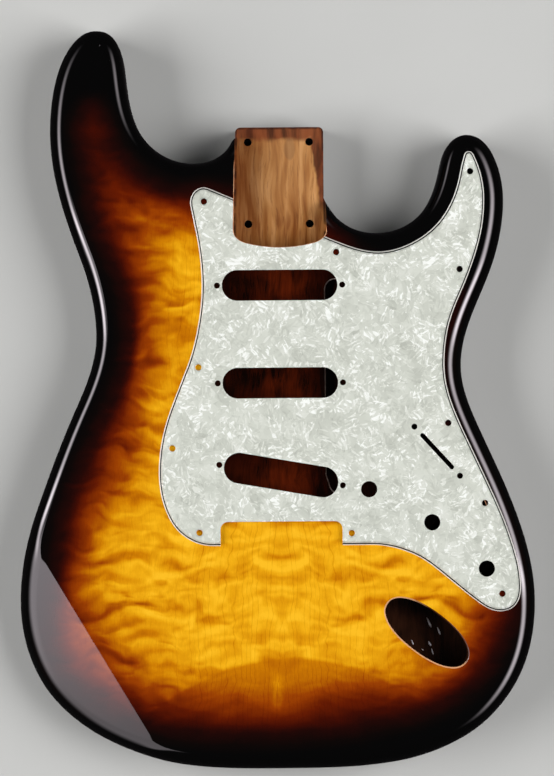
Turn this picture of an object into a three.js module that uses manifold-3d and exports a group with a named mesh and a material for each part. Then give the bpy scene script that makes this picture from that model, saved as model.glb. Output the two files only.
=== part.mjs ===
// A bare electric guitar body with two cutaways, lying on its back, and its three-ply pickguard.
// +Z is the normal of the face, and z = 0 the back. X = 0 is the centre line of neck and strings, with
// the bass side at -X. +Y points to the neck, and y = 0 is the middle of the length.
import * as THREE from 'three';
import { mergeVertices } from 'three/addons/utils/BufferGeometryUtils.js';
import Module from 'manifold-3d';

const wasm = await Module();
wasm.setup();

// Driving dimensions, in millimetres and degrees.
// Blank
const bodyWidth = 319;
const bodyLength = 457.6;
const bodyThickness = 44.5;
const edgeRadius = 11;
const leafThickness = 3.2;
const bentGlueGap = 0.3;
// Contours for the forearm and for the player's belly
const forearmTilt = 16;
const bellyEntrySlope = 18;
const bellyHollowRadius = 340;
const bellyFacetTurn = 3.4;
const bellyRunOutSlope = 13;
// Heel and neck pocket
const heelWidth = 54.6;
const heelCornerRadius = 3.2;
const heelEdgeRadius = 2;
const pocketInnerWidth = 57.4;
const pocketCornerRadius = 8;
const pocketEndBulge = 2.6;
const pocketDepth = 15.9;
const neckBoltSpacingX = 38.1;
const neckBoltSpacingY = 50.8;
const neckBoltHole = 4.8;
// Routes under the pickguard
const pickupRouteLength = 91;
const pickupRouteWidth = 26;
const pickupRouteDepth = 19;
const wiringBayDepth = 25;
const controlFloor = 6.5;
const cutterRadius = 6.35;
// Jack recess, and the bore that its wires take to the control cavity
const jackLength = 61.4;
const jackWidth = 27.8;
const jackFloor = 14.5;
const jackRimBevel = 0.8;
const wireBore = 9.5;
const wireBoreHeight = 21;
// Pickguard
const whitePly = 0.9;
const blackPly = 0.6;
const pearlPly = 0.9;
const neckCutClearance = 0.4;
const notchWidth = 75.3;
const notchCornerRadius = 4.8;
const pickupSlotLength = 71.2;
const pickupSlotWidth = 18.9;
const pickupScrewSpacing = 77.2;
const smallHole = 3.7;
const mountHole = 3.9;
const countersinkHead = 5.6;
const potHole = 10;
const switchSlotLength = 29.4;
const switchSlotWidth = 2.8;
const switchScrewSpacing = 41.3;
// Facets, and the overrun of every cut
const longestFacet = 13;
const facetTurn = 10;
const straightTurn = 1;
const edgeSteps = 4;
const smallHoleSides = 10;
const potHoleSides = 18;
const jackSides = 32;
const overrun = 2;

const halfWidth = bodyWidth / 2;
const halfLength = bodyLength / 2;
const pocketFloor = bodyThickness - pocketDepth;
const guardTop = bodyThickness + whitePly + blackPly + pearlPly;
const far = bodyLength;

// Headings in the outlines are degrees, read on a drawing whose length is this share of its width.
const drawnLengthShare = 1.4345;

// The body's outline, clockwise from the tip of the bass horn: x as a share of half the width, y as a
// share of half the length, and the heading. The heel's corners are eased: the heel block makes them.
const outlineShares = [
  [-0.708, 1, 0], [-0.662, 0.9935, 331], [-0.6085, 0.938, 285], [-0.593, 0.869, 276],
  [-0.521, 0.706, 307], [-0.329, 0.639, 0], [-0.216, 0.666, 40], [-0.185, 0.693, 63],
  [-0.112, 0.722, 0], [0.094, 0.722, 0], [0.168, 0.67, 270], [0.1685, 0.565, 271],
  [0.205, 0.506, 305], [0.376, 0.447, 0], [0.551, 0.4995, 48], [0.627, 0.624, 77.7],
  [0.6625, 0.687, 51], [0.73, 0.711, 0], [0.793, 0.694, 319], [0.845, 0.636, 291],
  [0.871, 0.535, 270], [0.843, 0.398, 255], [0.773, 0.269, 246.4], [0.7015, 0.087, 270],
  [0.7215, 0.003, 288], [0.7975, -0.124, 294.5], [0.896, -0.282, 291], [0.982, -0.551, 270],
  [0.923, -0.75, 244.5], [0.8075, -0.862, 225], [0.6433, -0.939, 205], [0.455, -0.981, 190.5],
  [0.031, -1, 180], [-0.3436, -0.9912, 173.5], [-0.63, -0.938, 157], [-0.8025, -0.869, 142],
  [-0.936, -0.7675, 121], [-1.0185, -0.551, 90], [-0.95, -0.298, 70.5], [-0.7915, -0.018, 65.5],
  [-0.7135, 0.18, 91], [-0.777, 0.391, 110.7], [-0.887, 0.725, 90], [-0.864, 0.8636, 76],
  [-0.8044, 0.958, 54],
];

// The pickguard's outline in the same shares, drawn straight across the neck and the bridge notch.
const guardShares = [
  [0.7365, 0.6645, 356], [0.7635, 0.641, 294.5], [0.7785, 0.6115, 287], [0.794, 0.535, 270],
  [0.775, 0.4285, 256], [0.702, 0.2855, 246], [0.6555, 0.202, 254.6], [0.635, 0.0885, 270],
  [0.6575, -0.0035, 288], [0.7235, -0.114, 295], [0.796, -0.223, 294.6], [0.879, -0.3625, 288.6],
  [0.9245, -0.508, 270], [0.9065, -0.5575, 234], [0.8435, -0.577, 180], [0.7565, -0.551, 143],
  [0.621, -0.474, 140.6], [0.516, -0.4235, 155], [0.345, -0.3955, 180], [-0.264, -0.3955, 180],
  [-0.3775, -0.3685, 143], [-0.4345, -0.3195, 116.3], [-0.473, -0.2, 90], [-0.4495, -0.0775, 75],
  [-0.4065, 0.0085, 69], [-0.3585, 0.092, 69.4], [-0.323, 0.178, 78.2], [-0.3015, 0.31, 90],
  [-0.3215, 0.448, 100.7], [-0.34, 0.5135, 101.5], [-0.343, 0.5385, 81], [-0.291, 0.5725, 0],
  [-0.266, 0.568, 338], [0.211, 0.4275, 338], [0.3835, 0.3955, 0], [0.496, 0.4135, 23.4],
  [0.601, 0.4625, 44.6], [0.671, 0.536, 66.3], [0.705, 0.6215, 79.6], [0.7165, 0.652, 77],
];

// Places on the face in the same shares, some with the degrees that a slot is turned by.
const heelEndShares = [0.003, 0.737];
const pocketEndShares = [0.003, 0.41];
const neckBoltShares = [0, 0.586];
const pickupShares = [[0, 0.307, 0], [0, 0.0435, 0], [0, -0.205, -9.84]];
const potShares = [[0.34, -0.245], [0.583, -0.3355], [0.7925, -0.4615]];
const switchShares = [0.604, -0.144, -47.6];
const jackShares = [0.5585, -0.633, -37.5];
const notchTopShares = [0, -0.33];
const mountHoleShares = [
  [-0.29, 0.534], [-0.3165, 0.087], [-0.4195, -0.131], [-0.317, -0.359], [0.2715, -0.363],
  [0.852, -0.5295], [0.788, -0.2845], [0.648, -0.068], [0.6965, 0.3465], [0.74, 0.61], [0.22, 0.395],
];
const wiringBayShares = [
  [0.1775, 0.324], [0.2715, 0.324], [0.2715, -0.15], [0.47, -0.15], [0.47, -0.375],
  [0.288, -0.314], [0.195, -0.245], [0.1775, -0.208],
];
const controlShares = [
  [0.44, -0.17], [0.419, -0.081], [0.53, -0.01], [0.699, -0.144], [0.797, -0.297],
  [0.872, -0.45], [0.865, -0.52], [0.746, -0.511], [0.552, -0.409], [0.44, -0.36],
];
const wireBoreShares = [[0.62, -0.6], [0.74, -0.46]];
// Lines where a contour leaves the flat face or back. The wood is cut away on the right of the crease
// and on the left of the others.
const creaseShares = [[-0.848, -0.515], [-0.5255, -0.8916]];
const bellyEntryShares = [[-0.42, -0.3], [-0.42, 0.45]];
const bellyEndShares = [[[-1.02, -0.46], [-0.42, -0.305]], [[-0.42, 0.5], [-0.91, 0.63]]];
// How full the jack recess is: 1 is an ellipse. The last is how far a rounded edge goes in at a tight bend,
// as a share of the bend's radius.
const jackFullnessShare = 1.1;
const bendShare = 0.75;

const { degToRad, radToDeg } = THREE.MathUtils;
const level = (z) => () => z;
const place = ([x, y]) => new THREE.Vector2(x * halfWidth, y * halfLength);
const knot = (x, y, before, after = before) => ({ at: new THREE.Vector2(x, y), before, after });

// One closed line through the knots. It bends between two of them as an arc with that turn does.
function bend(knots) {
  const points = [];
  knots.forEach((from, i) => {
    const to = knots[(i + 1) % knots.length];
    const chord = from.at.distanceTo(to.at);
    if (chord < Number.EPSILON * far) return;
    const swing = THREE.MathUtils.euclideanModulo(to.before - from.after + 180, 360) - 180;
    const turn = Math.abs(swing);
    const quarter = degToRad(turn) / 4;
    const handle = turn ? chord * 2 / 3 * Math.tan(quarter) / Math.sin(2 * quarter) : chord / 3;
    const ahead = new THREE.Vector2(handle, 0).rotateAround({ x: 0, y: 0 }, degToRad(from.after));
    const back = new THREE.Vector2(-handle, 0).rotateAround({ x: 0, y: 0 }, degToRad(to.before));
    const piece = new THREE.CubicBezierCurve(from.at, ahead.add(from.at), back.add(to.at), to.at);
    const steps = Math.max(Math.ceil(turn / facetTurn), Math.ceil(chord / longestFacet));
    points.push(...piece.getPoints(turn < straightTurn ? 1 : steps).slice(0, -1));
  });
  return THREE.ShapeUtils.isClockWise(points) ? points.reverse() : points;
}

// A table's line, drawn at the proportions that its headings were read on, then stretched to the body's.
function outline(tableShares) {
  const drawnLength = halfWidth * drawnLengthShare;
  const line = bend(tableShares.map(([x, y, heading]) => knot(x * halfWidth, y * drawnLength, heading)));
  return line.map((p) => p.setY(p.y * halfLength / drawnLength));
}

// A polygon's line with every corner rounded, by less than the radius where a side is too short for it.
function roundedPolygon(corners, radius) {
  const knots = corners.flatMap((corner, i) => {
    const arriving = corner.clone().sub(corners.at(i - 1));
    const leaving = corners[(i + 1) % corners.length].clone().sub(corner);
    const room = Math.min(arriving.length(), leaving.length()) / 2;
    const turn = Math.acos(arriving.normalize().dot(leaving.normalize()));
    const reach = Math.min(radius * Math.tan(turn / 2), room);
    const start = corner.clone().addScaledVector(arriving, -reach);
    const end = corner.clone().addScaledVector(leaving, reach);
    return [
      knot(start.x, start.y, radToDeg(arriving.angle())),
      knot(end.x, end.y, radToDeg(leaving.angle())),
    ];
  });
  return bend(knots);
}

function rectangle(low, high) {
  return [low, new THREE.Vector2(high.x, low.y), high, new THREE.Vector2(low.x, high.y)];
}

// A slot with full round ends about its centre, turned by the third share.
function slot(length, width, placeShares) {
  const side = width / 2;
  const end = length / 2;
  const shoulder = end - side;
  const line = bend([
    knot(-shoulder, side, 0), knot(shoulder, side, 0), knot(end, 0, 270),
    knot(shoulder, -side, 180), knot(-shoulder, -side, 180), knot(-end, 0, 90),
  ]);
  return turned(line, placeShares);
}

function turned(line, [x, y, turn]) {
  return line.map((p) => p.rotateAround({ x: 0, y: 0 }, degToRad(turn)).add(place([x, y])));
}

// Points evenly spaced in angle on a superellipse: fullness 1 is an ellipse, more is fuller.
function oval(length, width, fullnessShare, sides) {
  const bulge = (value) => Math.sign(value) * Math.abs(value) ** (1 / fullnessShare);
  return Array.from({ length: sides }, (_, i) => {
    const angle = i / sides * 2 * Math.PI;
    return new THREE.Vector2(length / 2 * bulge(Math.cos(angle)), width / 2 * bulge(Math.sin(angle)));
  });
}

// A line moved inward, at the height that a function gives at each point. The circle through a point and
// the two beside it gives the way in, and keeps the move short of its centre.
function ring(line, inset, height) {
  return line.map((p, i) => {
    const before = line.at(i - 1);
    const after = line[(i + 1) % line.length];
    const arriving = p.clone().sub(before);
    const leaving = after.clone().sub(p);
    const bulge = 2 * arriving.cross(leaving);
    const radius = arriving.length() * leaving.length() * after.distanceTo(before) / bulge;
    const reach = bulge > 0 ? Math.min(inset, radius * bendShare) : inset;
    const along = arriving.divideScalar(arriving.lengthSq())
      .addScaledVector(leaving, 1 / leaving.lengthSq()).normalize();
    const x = p.x - along.y * reach;
    const y = p.y + along.x * reach;
    return new THREE.Vector3(x, y, height(x, y));
  });
}

// Rings of a rounded edge below a face, which turns down (side 1) or up (side -1) to the line. They run
// from the line to the face.
function edgeRings(line, radius, face, side) {
  return Array.from({ length: edgeSteps + 1 }, (_, i) => {
    const angle = i / edgeSteps * Math.PI / 2;
    const drop = side * radius * (1 - Math.sin(angle));
    return ring(line, radius * (1 - Math.cos(angle)), (x, y) => face(x, y) - drop);
  });
}

// A solid through rings of points from low to high, each with as many points, and a flat cap at each end.
function loft(rings) {
  const count = rings[0].length;
  const triVerts = [];
  for (let start = 0; start < count * (rings.length - 1); start += count) {
    for (let i = 0; i < count; i += 1) {
      const a = start + i;
      const b = start + (i + 1) % count;
      triVerts.push(a, b, b + count, a, b + count, a + count);
    }
  }
  const lastStart = count * (rings.length - 1);
  const flat = (points) => points.map((p) => new THREE.Vector2(p.x, p.y));
  for (const [a, b, c] of THREE.ShapeUtils.triangulateShape(flat(rings[0]), [])) triVerts.push(c, b, a);
  for (const face of THREE.ShapeUtils.triangulateShape(flat(rings.at(-1)), [])) {
    triVerts.push(...face.map((corner) => corner + lastStart));
  }
  const vertProperties = new Float32Array(rings.flat().flatMap((p) => [p.x, p.y, p.z]));
  const mesh = new wasm.Mesh({ numProp: 3, vertProperties, triVerts: new Uint32Array(triVerts) });
  return new wasm.Manifold(mesh);
}

// Straight up from one height to another, each a function of the place.
function prism(line, low, high) {
  return loft([ring(line, 0, low), ring(line, 0, high)]);
}

function drill([x, y], diameter, sides, low, high) {
  const circle = oval(diameter, diameter, 1, sides);
  return prism(circle.map((p) => p.add({ x, y })), level(low), level(high));
}

// The height of a plane that is at a base height along a line and rises to the left of it.
function risingPlane(lineShares, base, slope) {
  const [from, to] = lineShares.map(place);
  const along = to.sub(from).normalize();
  const rise = Math.tan(degToRad(slope));
  return (x, y) => base + ((y - from.y) * along.x - (x - from.x) * along.y) * rise;
}

const forearmFace = risingPlane(creaseShares, bodyThickness, forearmTilt);

// The planes that together hollow the back for the belly: tangents of one large cylinder, and the two
// run-outs towards the horn and the lower bout.
function bellyFaces() {
  const entry = degToRad(bellyEntrySlope);
  const hollow = [];
  for (let slope = bellyEntrySlope - bellyFacetTurn / 2; slope > 0; slope -= bellyFacetTurn) {
    const angle = degToRad(slope);
    const across = bellyHollowRadius * (Math.sin(entry) - Math.sin(angle));
    const depth = bellyHollowRadius * (Math.cos(angle) - Math.cos(entry));
    hollow.push(risingPlane(bellyEntryShares, depth - across * Math.tan(angle), slope));
  }
  const runOuts = bellyEndShares.map((line) => risingPlane(line, 0, bellyRunOutSlope));
  return [...hollow, ...runOuts];
}

// The rounded blank, cut by the forearm's plane and the belly's hollow. Each face carries its own rounded
// edge, so that the edge follows the contours as a router does.
function contouredBlank(line) {
  const blank = loft([
    ...edgeRings(line, edgeRadius, level(0), -1).reverse(),
    ...edgeRings(line, edgeRadius, level(bodyThickness), 1),
  ]);
  const wall = (x, y) => forearmFace(x, y) - edgeRadius - overrun;
  const underForearm = loft([
    ring(line, -overrun, level(-far)),
    ring(line, -overrun, wall),
    ...edgeRings(line, edgeRadius, forearmFace, 1),
  ]);
  const overBelly = bellyFaces().map((face, i) => {
    const reach = overrun / (i + 1);
    return loft([
      ...edgeRings(line, edgeRadius, face, -1).reverse(),
      ring(line, -reach, (x, y) => face(x, y) + edgeRadius + reach),
      ring(line, -reach, level(far)),
    ]);
  });
  return blank.intersect(underForearm).intersect(overBelly.reduce((all, next) => all.add(next)));
}

// The block that carries the neck, square to its end, with small corners and a small edge at the back.
function heelBlock() {
  const end = place(heelEndShares);
  const inner = place(pocketEndShares);
  const low = new THREE.Vector2(end.x - heelWidth / 2, inner.y);
  const high = new THREE.Vector2(end.x + heelWidth / 2, end.y);
  const line = roundedPolygon(rectangle(low, high), heelCornerRadius);
  const back = edgeRings(line, heelEdgeRadius, level(0), -1).reverse();
  return loft([...back, ring(line, 0, level(pocketFloor))]);
}

// The neck pocket's line: sides that open slightly inward, and a bowed end. It is open at the heel.
function pocketLine(clearance) {
  const end = place(heelEndShares);
  const inner = place(pocketEndShares);
  const heelHalf = heelWidth / 2 + clearance;
  const innerHalf = pocketInnerWidth / 2 + clearance;
  const bowHalf = pocketInnerWidth / 2 - pocketCornerRadius;
  const bowTurn = radToDeg(Math.atan(pocketEndBulge / bowHalf)) * 2;
  const endY = inner.y - clearance;
  const bowY = endY + pocketEndBulge;
  const cornerY = bowY + pocketCornerRadius + clearance;
  const openY = end.y + overrun;
  const flare = radToDeg(Math.atan((innerHalf - heelHalf) / (openY - cornerY)));
  return bend([
    knot(end.x + heelHalf, openY, 0, 270 + flare),
    knot(inner.x + innerHalf, cornerY, 270 + flare, 270),
    knot(inner.x + bowHalf, bowY, 180 + bowTurn),
    knot(inner.x, endY, 180),
    knot(inner.x - bowHalf, bowY, 180 - bowTurn),
    knot(inner.x - innerHalf, cornerY, 90, 90 - flare),
    knot(end.x - heelHalf, openY, 90 - flare, 0),
  ]);
}

// Four places about a centre.
function neckBolts() {
  const centre = place(neckBoltShares);
  return [[-1, -1], [1, -1], [1, 1], [-1, 1]].map(([across, along]) => [
    centre.x + across * neckBoltSpacingX / 2, centre.y + along * neckBoltSpacingY / 2,
  ]);
}

function jackCut() {
  const rim = turned(oval(jackLength, jackWidth, jackFullnessShare, jackSides), jackShares);
  return loft([
    ring(rim, jackRimBevel, level(jackFloor)),
    ring(rim, jackRimBevel, level(bodyThickness - jackRimBevel)),
    ring(rim, 0, level(bodyThickness)),
    ring(rim, -overrun, level(bodyThickness + overrun)),
  ]);
}

// A round bore between two places at one height.
function boreBetween(endShares, diameter, height) {
  const [from, to] = endShares.map(place);
  const run = from.distanceTo(to);
  const middle = from.clone().lerp(to, 1 / 2);
  const shape = new THREE.CylinderGeometry(diameter / 2, diameter / 2, run, smallHoleSides)
    .rotateZ(to.sub(from).angle() - Math.PI / 2)
    .translate(middle.x, middle.y, height);
  return solidOf(shape);
}

// Every cut made from the face into the wood.
function woodCuts() {
  const top = bodyThickness + overrun;
  const route = (line, floor) => prism(line, level(floor), level(top));
  const controlLine = roundedPolygon(controlShares.map(place), cutterRadius);
  const wiringLine = roundedPolygon(wiringBayShares.map(place), cutterRadius);
  const pickupRoutes = pickupShares.map(([x, y, turn]) => {
    const half = new THREE.Vector2(pickupRouteLength / 2, pickupRouteWidth / 2);
    const line = roundedPolygon(rectangle(half.clone().negate(), half), cutterRadius);
    return route(turned(line, [x, y, turn]), bodyThickness - pickupRouteDepth);
  });
  return [
    route(pocketLine(0), pocketFloor),
    route(wiringLine, bodyThickness - wiringBayDepth),
    route(controlLine, controlFloor),
    ...pickupRoutes,
    jackCut(),
    boreBetween(wireBoreShares, wireBore, wireBoreHeight),
    ...neckBolts().map((at) => drill(at, neckBoltHole, smallHoleSides, -overrun, top)),
  ];
}

// The space over the wood that the routes of two pickups and the wiring channel shut in.
function islandSpace(lowerPickup, upperPickup) {
  const [channelBass, channelTreble] = wiringBayShares.map(place);
  const low = new THREE.Vector2(0, place(lowerPickup).y);
  const high = channelBass.clone().lerp(channelTreble, 1 / 2).setY(place(upperPickup).y);
  return prism(rectangle(low, high), level(-far), level(far));
}

// The wood is glued up from two core halves and two figured leaves, which bend down with the forearm.
// The wiring channel then cuts two islands off the treble leaf.
function woodPieces() {
  const shaped = contouredBlank(outline(outlineShares)).add(heelBlock());
  const wood = woodCuts().reduce((rest, cut) => rest.subtract(cut), shaped);
  const corner = new THREE.Vector2(far, far);
  const surround = rectangle(corner.clone().negate(), corner);
  const flatGlue = level(bodyThickness - leafThickness);
  const bentGlue = (x, y) => forearmFace(x, y) - leafThickness;
  const bentCore = (x, y) => bentGlue(x, y) - bentGlueGap;
  const leafSpace = prism(surround, flatGlue, level(far)).add(prism(surround, bentGlue, level(far)));
  const coreSpace = prism(surround, level(-far), flatGlue)
    .intersect(prism(surround, level(-far), bentCore));
  const bassSide = prism(
    rectangle(corner.clone().negate(), new THREE.Vector2(0, far)), level(-far), level(far));
  const core = wood.intersect(coreSpace);
  const leaves = wood.intersect(leafSpace);
  const trebleLeaf = leaves.subtract(bassSide);
  const [neckPickup, middlePickup, bridgePickup] = pickupShares;
  const upper = islandSpace(middlePickup, neckPickup);
  const lower = islandSpace(bridgePickup, middlePickup);
  return {
    core_bass_half: core.intersect(bassSide),
    core_treble_half: core.subtract(bassSide),
    top_bass_leaf: leaves.intersect(bassSide),
    top_treble_leaf: trebleLeaf.subtract(upper).subtract(lower),
    top_treble_upper_island: trebleLeaf.intersect(upper),
    top_treble_lower_island: trebleLeaf.intersect(lower),
  };
}

// Slots and holes that go through all plies, with the line that each follows.
function guardCuts() {
  const through = (line) => prism(line, level(bodyThickness - overrun), level(guardTop + overrun));
  const hole = (at, diameter, sides) => (
    drill(at, diameter, sides, bodyThickness - overrun, guardTop + overrun));
  const notchTop = place(notchTopShares);
  const notchCorner = new THREE.Vector2(notchWidth / 2, 0);
  const notch = roundedPolygon(
    rectangle(notchTop.clone().sub(notchCorner).setY(-halfLength), notchTop.clone().add(notchCorner)),
    notchCornerRadius);
  const pickupHoles = pickupShares.flatMap((shares) => screwPair(pickupScrewSpacing, shares));
  const switchHoles = screwPair(switchScrewSpacing, switchShares);
  return [
    through(pocketLine(neckCutClearance)),
    through(notch),
    ...pickupShares.map((shares) => through(slot(pickupSlotLength, pickupSlotWidth, shares))),
    through(slot(switchSlotLength, switchSlotWidth, switchShares)),
    ...[...pickupHoles, ...switchHoles].map((p) => hole([p.x, p.y], smallHole, smallHoleSides)),
    ...potShares.map(place).map((p) => hole([p.x, p.y], potHole, potHoleSides)),
    ...mountHoleShares.map(place).map((p) => hole([p.x, p.y], mountHole, smallHoleSides)),
  ];
}

// The two places of a pair of screws, turned as their slot is.
function screwPair(spacing, placeShares) {
  const pair = [new THREE.Vector2(-spacing / 2, 0), new THREE.Vector2(spacing / 2, 0)];
  return turned(pair, placeShares);
}

// The cones that let the screws' heads into the pearl.
function countersinks() {
  const depth = (countersinkHead - mountHole) / 2;
  return mountHoleShares.map(place).map((p) => {
    const circle = oval(countersinkHead, countersinkHead, 1, smallHoleSides).map((q) => q.add(p));
    return loft([
      ring(circle, depth * 2, level(guardTop - depth * 2)),
      ring(circle, -overrun, level(guardTop + overrun)),
    ]);
  });
}

// Three plies, bevelled together at half a right angle on the outline only.
function guardPieces() {
  const line = outline(guardShares);
  const cuts = guardCuts();
  const ply = (low, high, extraCuts = []) => {
    const slab = loft([
      ring(line, low - bodyThickness, level(low)), ring(line, high - bodyThickness, level(high)),
    ]);
    return [...cuts, ...extraCuts].reduce((rest, cut) => rest.subtract(cut), slab);
  };
  const blackLow = bodyThickness + whitePly;
  const pearlLow = blackLow + blackPly;
  return {
    pickguard_white_ply: ply(bodyThickness, blackLow),
    pickguard_black_ply: ply(blackLow, pearlLow),
    pickguard_pearl_ply: ply(pearlLow, guardTop, countersinks()),
  };
}

// A closed three.js geometry as a solid.
function solidOf(geometry) {
  geometry.deleteAttribute('normal');
  geometry.deleteAttribute('uv');
  const merged = mergeVertices(geometry);
  const vertProperties = merged.attributes.position.array;
  const triVerts = new Uint32Array(merged.index.array);
  return new wasm.Manifold(new wasm.Mesh({ numProp: 3, vertProperties, triVerts }));
}

function geometryOf(solid) {
  const { vertProperties, triVerts } = solid.getMesh();
  const geometry = new THREE.BufferGeometry();
  geometry.setAttribute('position', new THREE.BufferAttribute(vertProperties, 3));
  geometry.setIndex(new THREE.BufferAttribute(triVerts, 1));
  return geometry;
}

const lacqueredCore = { color: 0x2a1208, roughness: 0.2 };
const figuredMaple = { color: 0xd98a12, roughness: 0.12 };
const finishes = {
  core_bass_half: lacqueredCore,
  core_treble_half: lacqueredCore,
  top_bass_leaf: figuredMaple,
  top_treble_leaf: figuredMaple,
  top_treble_upper_island: figuredMaple,
  top_treble_lower_island: figuredMaple,
  pickguard_white_ply: { color: 0xe9e4d8, roughness: 0.4 },
  pickguard_black_ply: { color: 0x17140f, roughness: 0.4 },
  pickguard_pearl_ply: { color: 0xd7dbd2, roughness: 0.15 },
};

const body = new THREE.Group();
for (const [name, solid] of Object.entries({ ...woodPieces(), ...guardPieces() })) {
  const material = new THREE.MeshStandardMaterial({ ...finishes[name], metalness: 0 });
  const mesh = new THREE.Mesh(geometryOf(solid), material);
  mesh.name = name;
  body.add(mesh);
}

export default body;
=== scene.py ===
# The looks of a bare electric guitar body and its pickguard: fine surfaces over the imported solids, their
# finishes, the light and the camera. Sizes are in millimetres and degrees, and meshes in metres.
import math

import bmesh
import bpy
import numpy as np
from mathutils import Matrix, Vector
from mathutils.geometry import delaunay_2d_cdt


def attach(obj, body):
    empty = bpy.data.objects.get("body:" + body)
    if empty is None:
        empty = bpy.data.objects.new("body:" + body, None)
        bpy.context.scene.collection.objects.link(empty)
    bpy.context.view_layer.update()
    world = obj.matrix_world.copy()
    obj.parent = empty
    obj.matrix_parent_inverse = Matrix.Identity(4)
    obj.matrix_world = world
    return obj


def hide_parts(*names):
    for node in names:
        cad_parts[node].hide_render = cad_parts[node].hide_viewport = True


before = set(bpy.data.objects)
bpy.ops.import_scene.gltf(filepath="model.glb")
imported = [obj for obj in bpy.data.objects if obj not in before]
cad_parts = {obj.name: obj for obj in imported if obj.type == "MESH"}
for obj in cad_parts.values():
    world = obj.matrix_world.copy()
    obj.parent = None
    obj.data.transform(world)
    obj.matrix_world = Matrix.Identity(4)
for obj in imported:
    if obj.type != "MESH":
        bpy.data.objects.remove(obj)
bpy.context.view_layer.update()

MM = 0.001

# Blank and contours
BODY_WIDTH = 319
BODY_LENGTH = 457.6
BODY_THICKNESS = 44.5
EDGE_RADIUS = 11
LEAF_THICKNESS = 3.2
FOREARM_TILT = 16
# The bend that eases the crease where it crosses the rounded edge: how far it spreads, how far in from the
# outline it reaches, how fast it narrows inward, and the stretch over which it gives way to the sharp crease.
CREASE_BLEND = 22
CREASE_BLEND_DEPTH = 22
CREASE_BLEND_POWER = 2.5
CREASE_FADE = 11
LEAST_BLEND = 1e-3
BELLY_ENTRY_SLOPE = 18
BELLY_HOLLOW_RADIUS = 340
BELLY_WIDEST_SHARE = 0.9
BELLY_RUN_OUT_SLOPE = 13
BELLY_BLEND = 4
# Heel and neck pocket
HEEL_WIDTH = 54.6
HEEL_CORNER_RADIUS = 3.2
HEEL_EDGE_RADIUS = 2
POCKET_INNER_WIDTH = 57.4
POCKET_CORNER_RADIUS = 8
POCKET_END_BULGE = 2.6
POCKET_DEPTH = 15.9
NECK_BOLT_SPACING = (38.1, 50.8)
NECK_BOLT_HOLE = 4.8
# Routes
PICKUP_ROUTE = (91, 26)
PICKUP_ROUTE_DEPTH = 19
WIRING_BAY_DEPTH = 25
CONTROL_FLOOR = 6.5
CUTTER_RADIUS = 6.35
ROUTE_RIM_BEVEL = 0.4
CHANNEL_RIM_BEVEL = 0.7
JACK_SIZE = (61.4, 27.8)
JACK_FLOOR = 14.5
JACK_RIM_BEVEL = 0.8
# The middle of its rounded rim, as shares of the bevel: in from the rim, and down.
JACK_RIM_MIDDLE = (0.45, 0.3)
# Drops of lacquer in it: place, heading, length and width.
JACK_RUNS = [
    (91.6, -140.2, -66, 7.2, 1.7), (97.7, -145.6, -68, 5.4, 1.5), (81.1, -152.6, -72, 3.6, 1.2),
    (91.8, -153.4, -62, 3.4, 1.6), (93.6, -158.4, -74, 4, 1), (87.4, -157.2, -40, 1.6, 0.8),
]
RUN_TAPER = 0.25
WIRE_BORE = 9.5
WIRE_BORE_HEIGHT = 21
# Pickguard
PLIES = (0.9, 0.6, 0.9)
PLY_EDGES = (0, 0.65, 1.4, 2.4)
NECK_CUT_CLEARANCE = 0.4
NOTCH_WIDTH = 75.3
NOTCH_CORNER_RADIUS = 4.8
PICKUP_SLOT = (71.2, 18.9)
PICKUP_SCREW_SPACING = 77.2
SMALL_HOLE = 3.7
MOUNT_HOLE = 3.9
COUNTERSINK_HEAD = 5.6
POT_HOLE = 10
SWITCH_SLOT = (29.4, 2.8)
SWITCH_SCREW_SPACING = 41.3
# Fineness of the meshes
LONGEST_FACET = 3.5
FACET_TURN = 4
STRAIGHT_TURN = 1
EDGE_STEPS = 10
HOLE_SIDES = 40
JACK_SIDES = 120
RUN_SIDES = (24, 16)
CURVE_STEPS = 6
CAP_SPACING = 3.2
SMOOTH_ANGLE = 30
SLOPE_STEP = 0.05
POINTS_AT_ONCE = 4000
OVERRUN = 2
TINY = 1e-6
LEAST_BULGE = 1e-9
MERGED_WITHIN = 1e-7
# A corner takes the true form's normal if it lies this near to the flat face, the forearm contour, the back
# or the side, and if its own normal is at least this much like it.
SURFACE_GAPS = (0.35, 0.35, 0.35, 0.25)
LEAST_LIKENESS = 0.965

HALF_WIDTH = BODY_WIDTH / 2
HALF_LENGTH = BODY_LENGTH / 2
POCKET_FLOOR = BODY_THICKNESS - POCKET_DEPTH
GUARD_TOP = BODY_THICKNESS + sum(PLIES)
FAR = BODY_LENGTH

# Headings in the outlines are degrees, read on a drawing whose length is this share of its width.
DRAWN_LENGTH_SHARE = 1.4345

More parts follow.
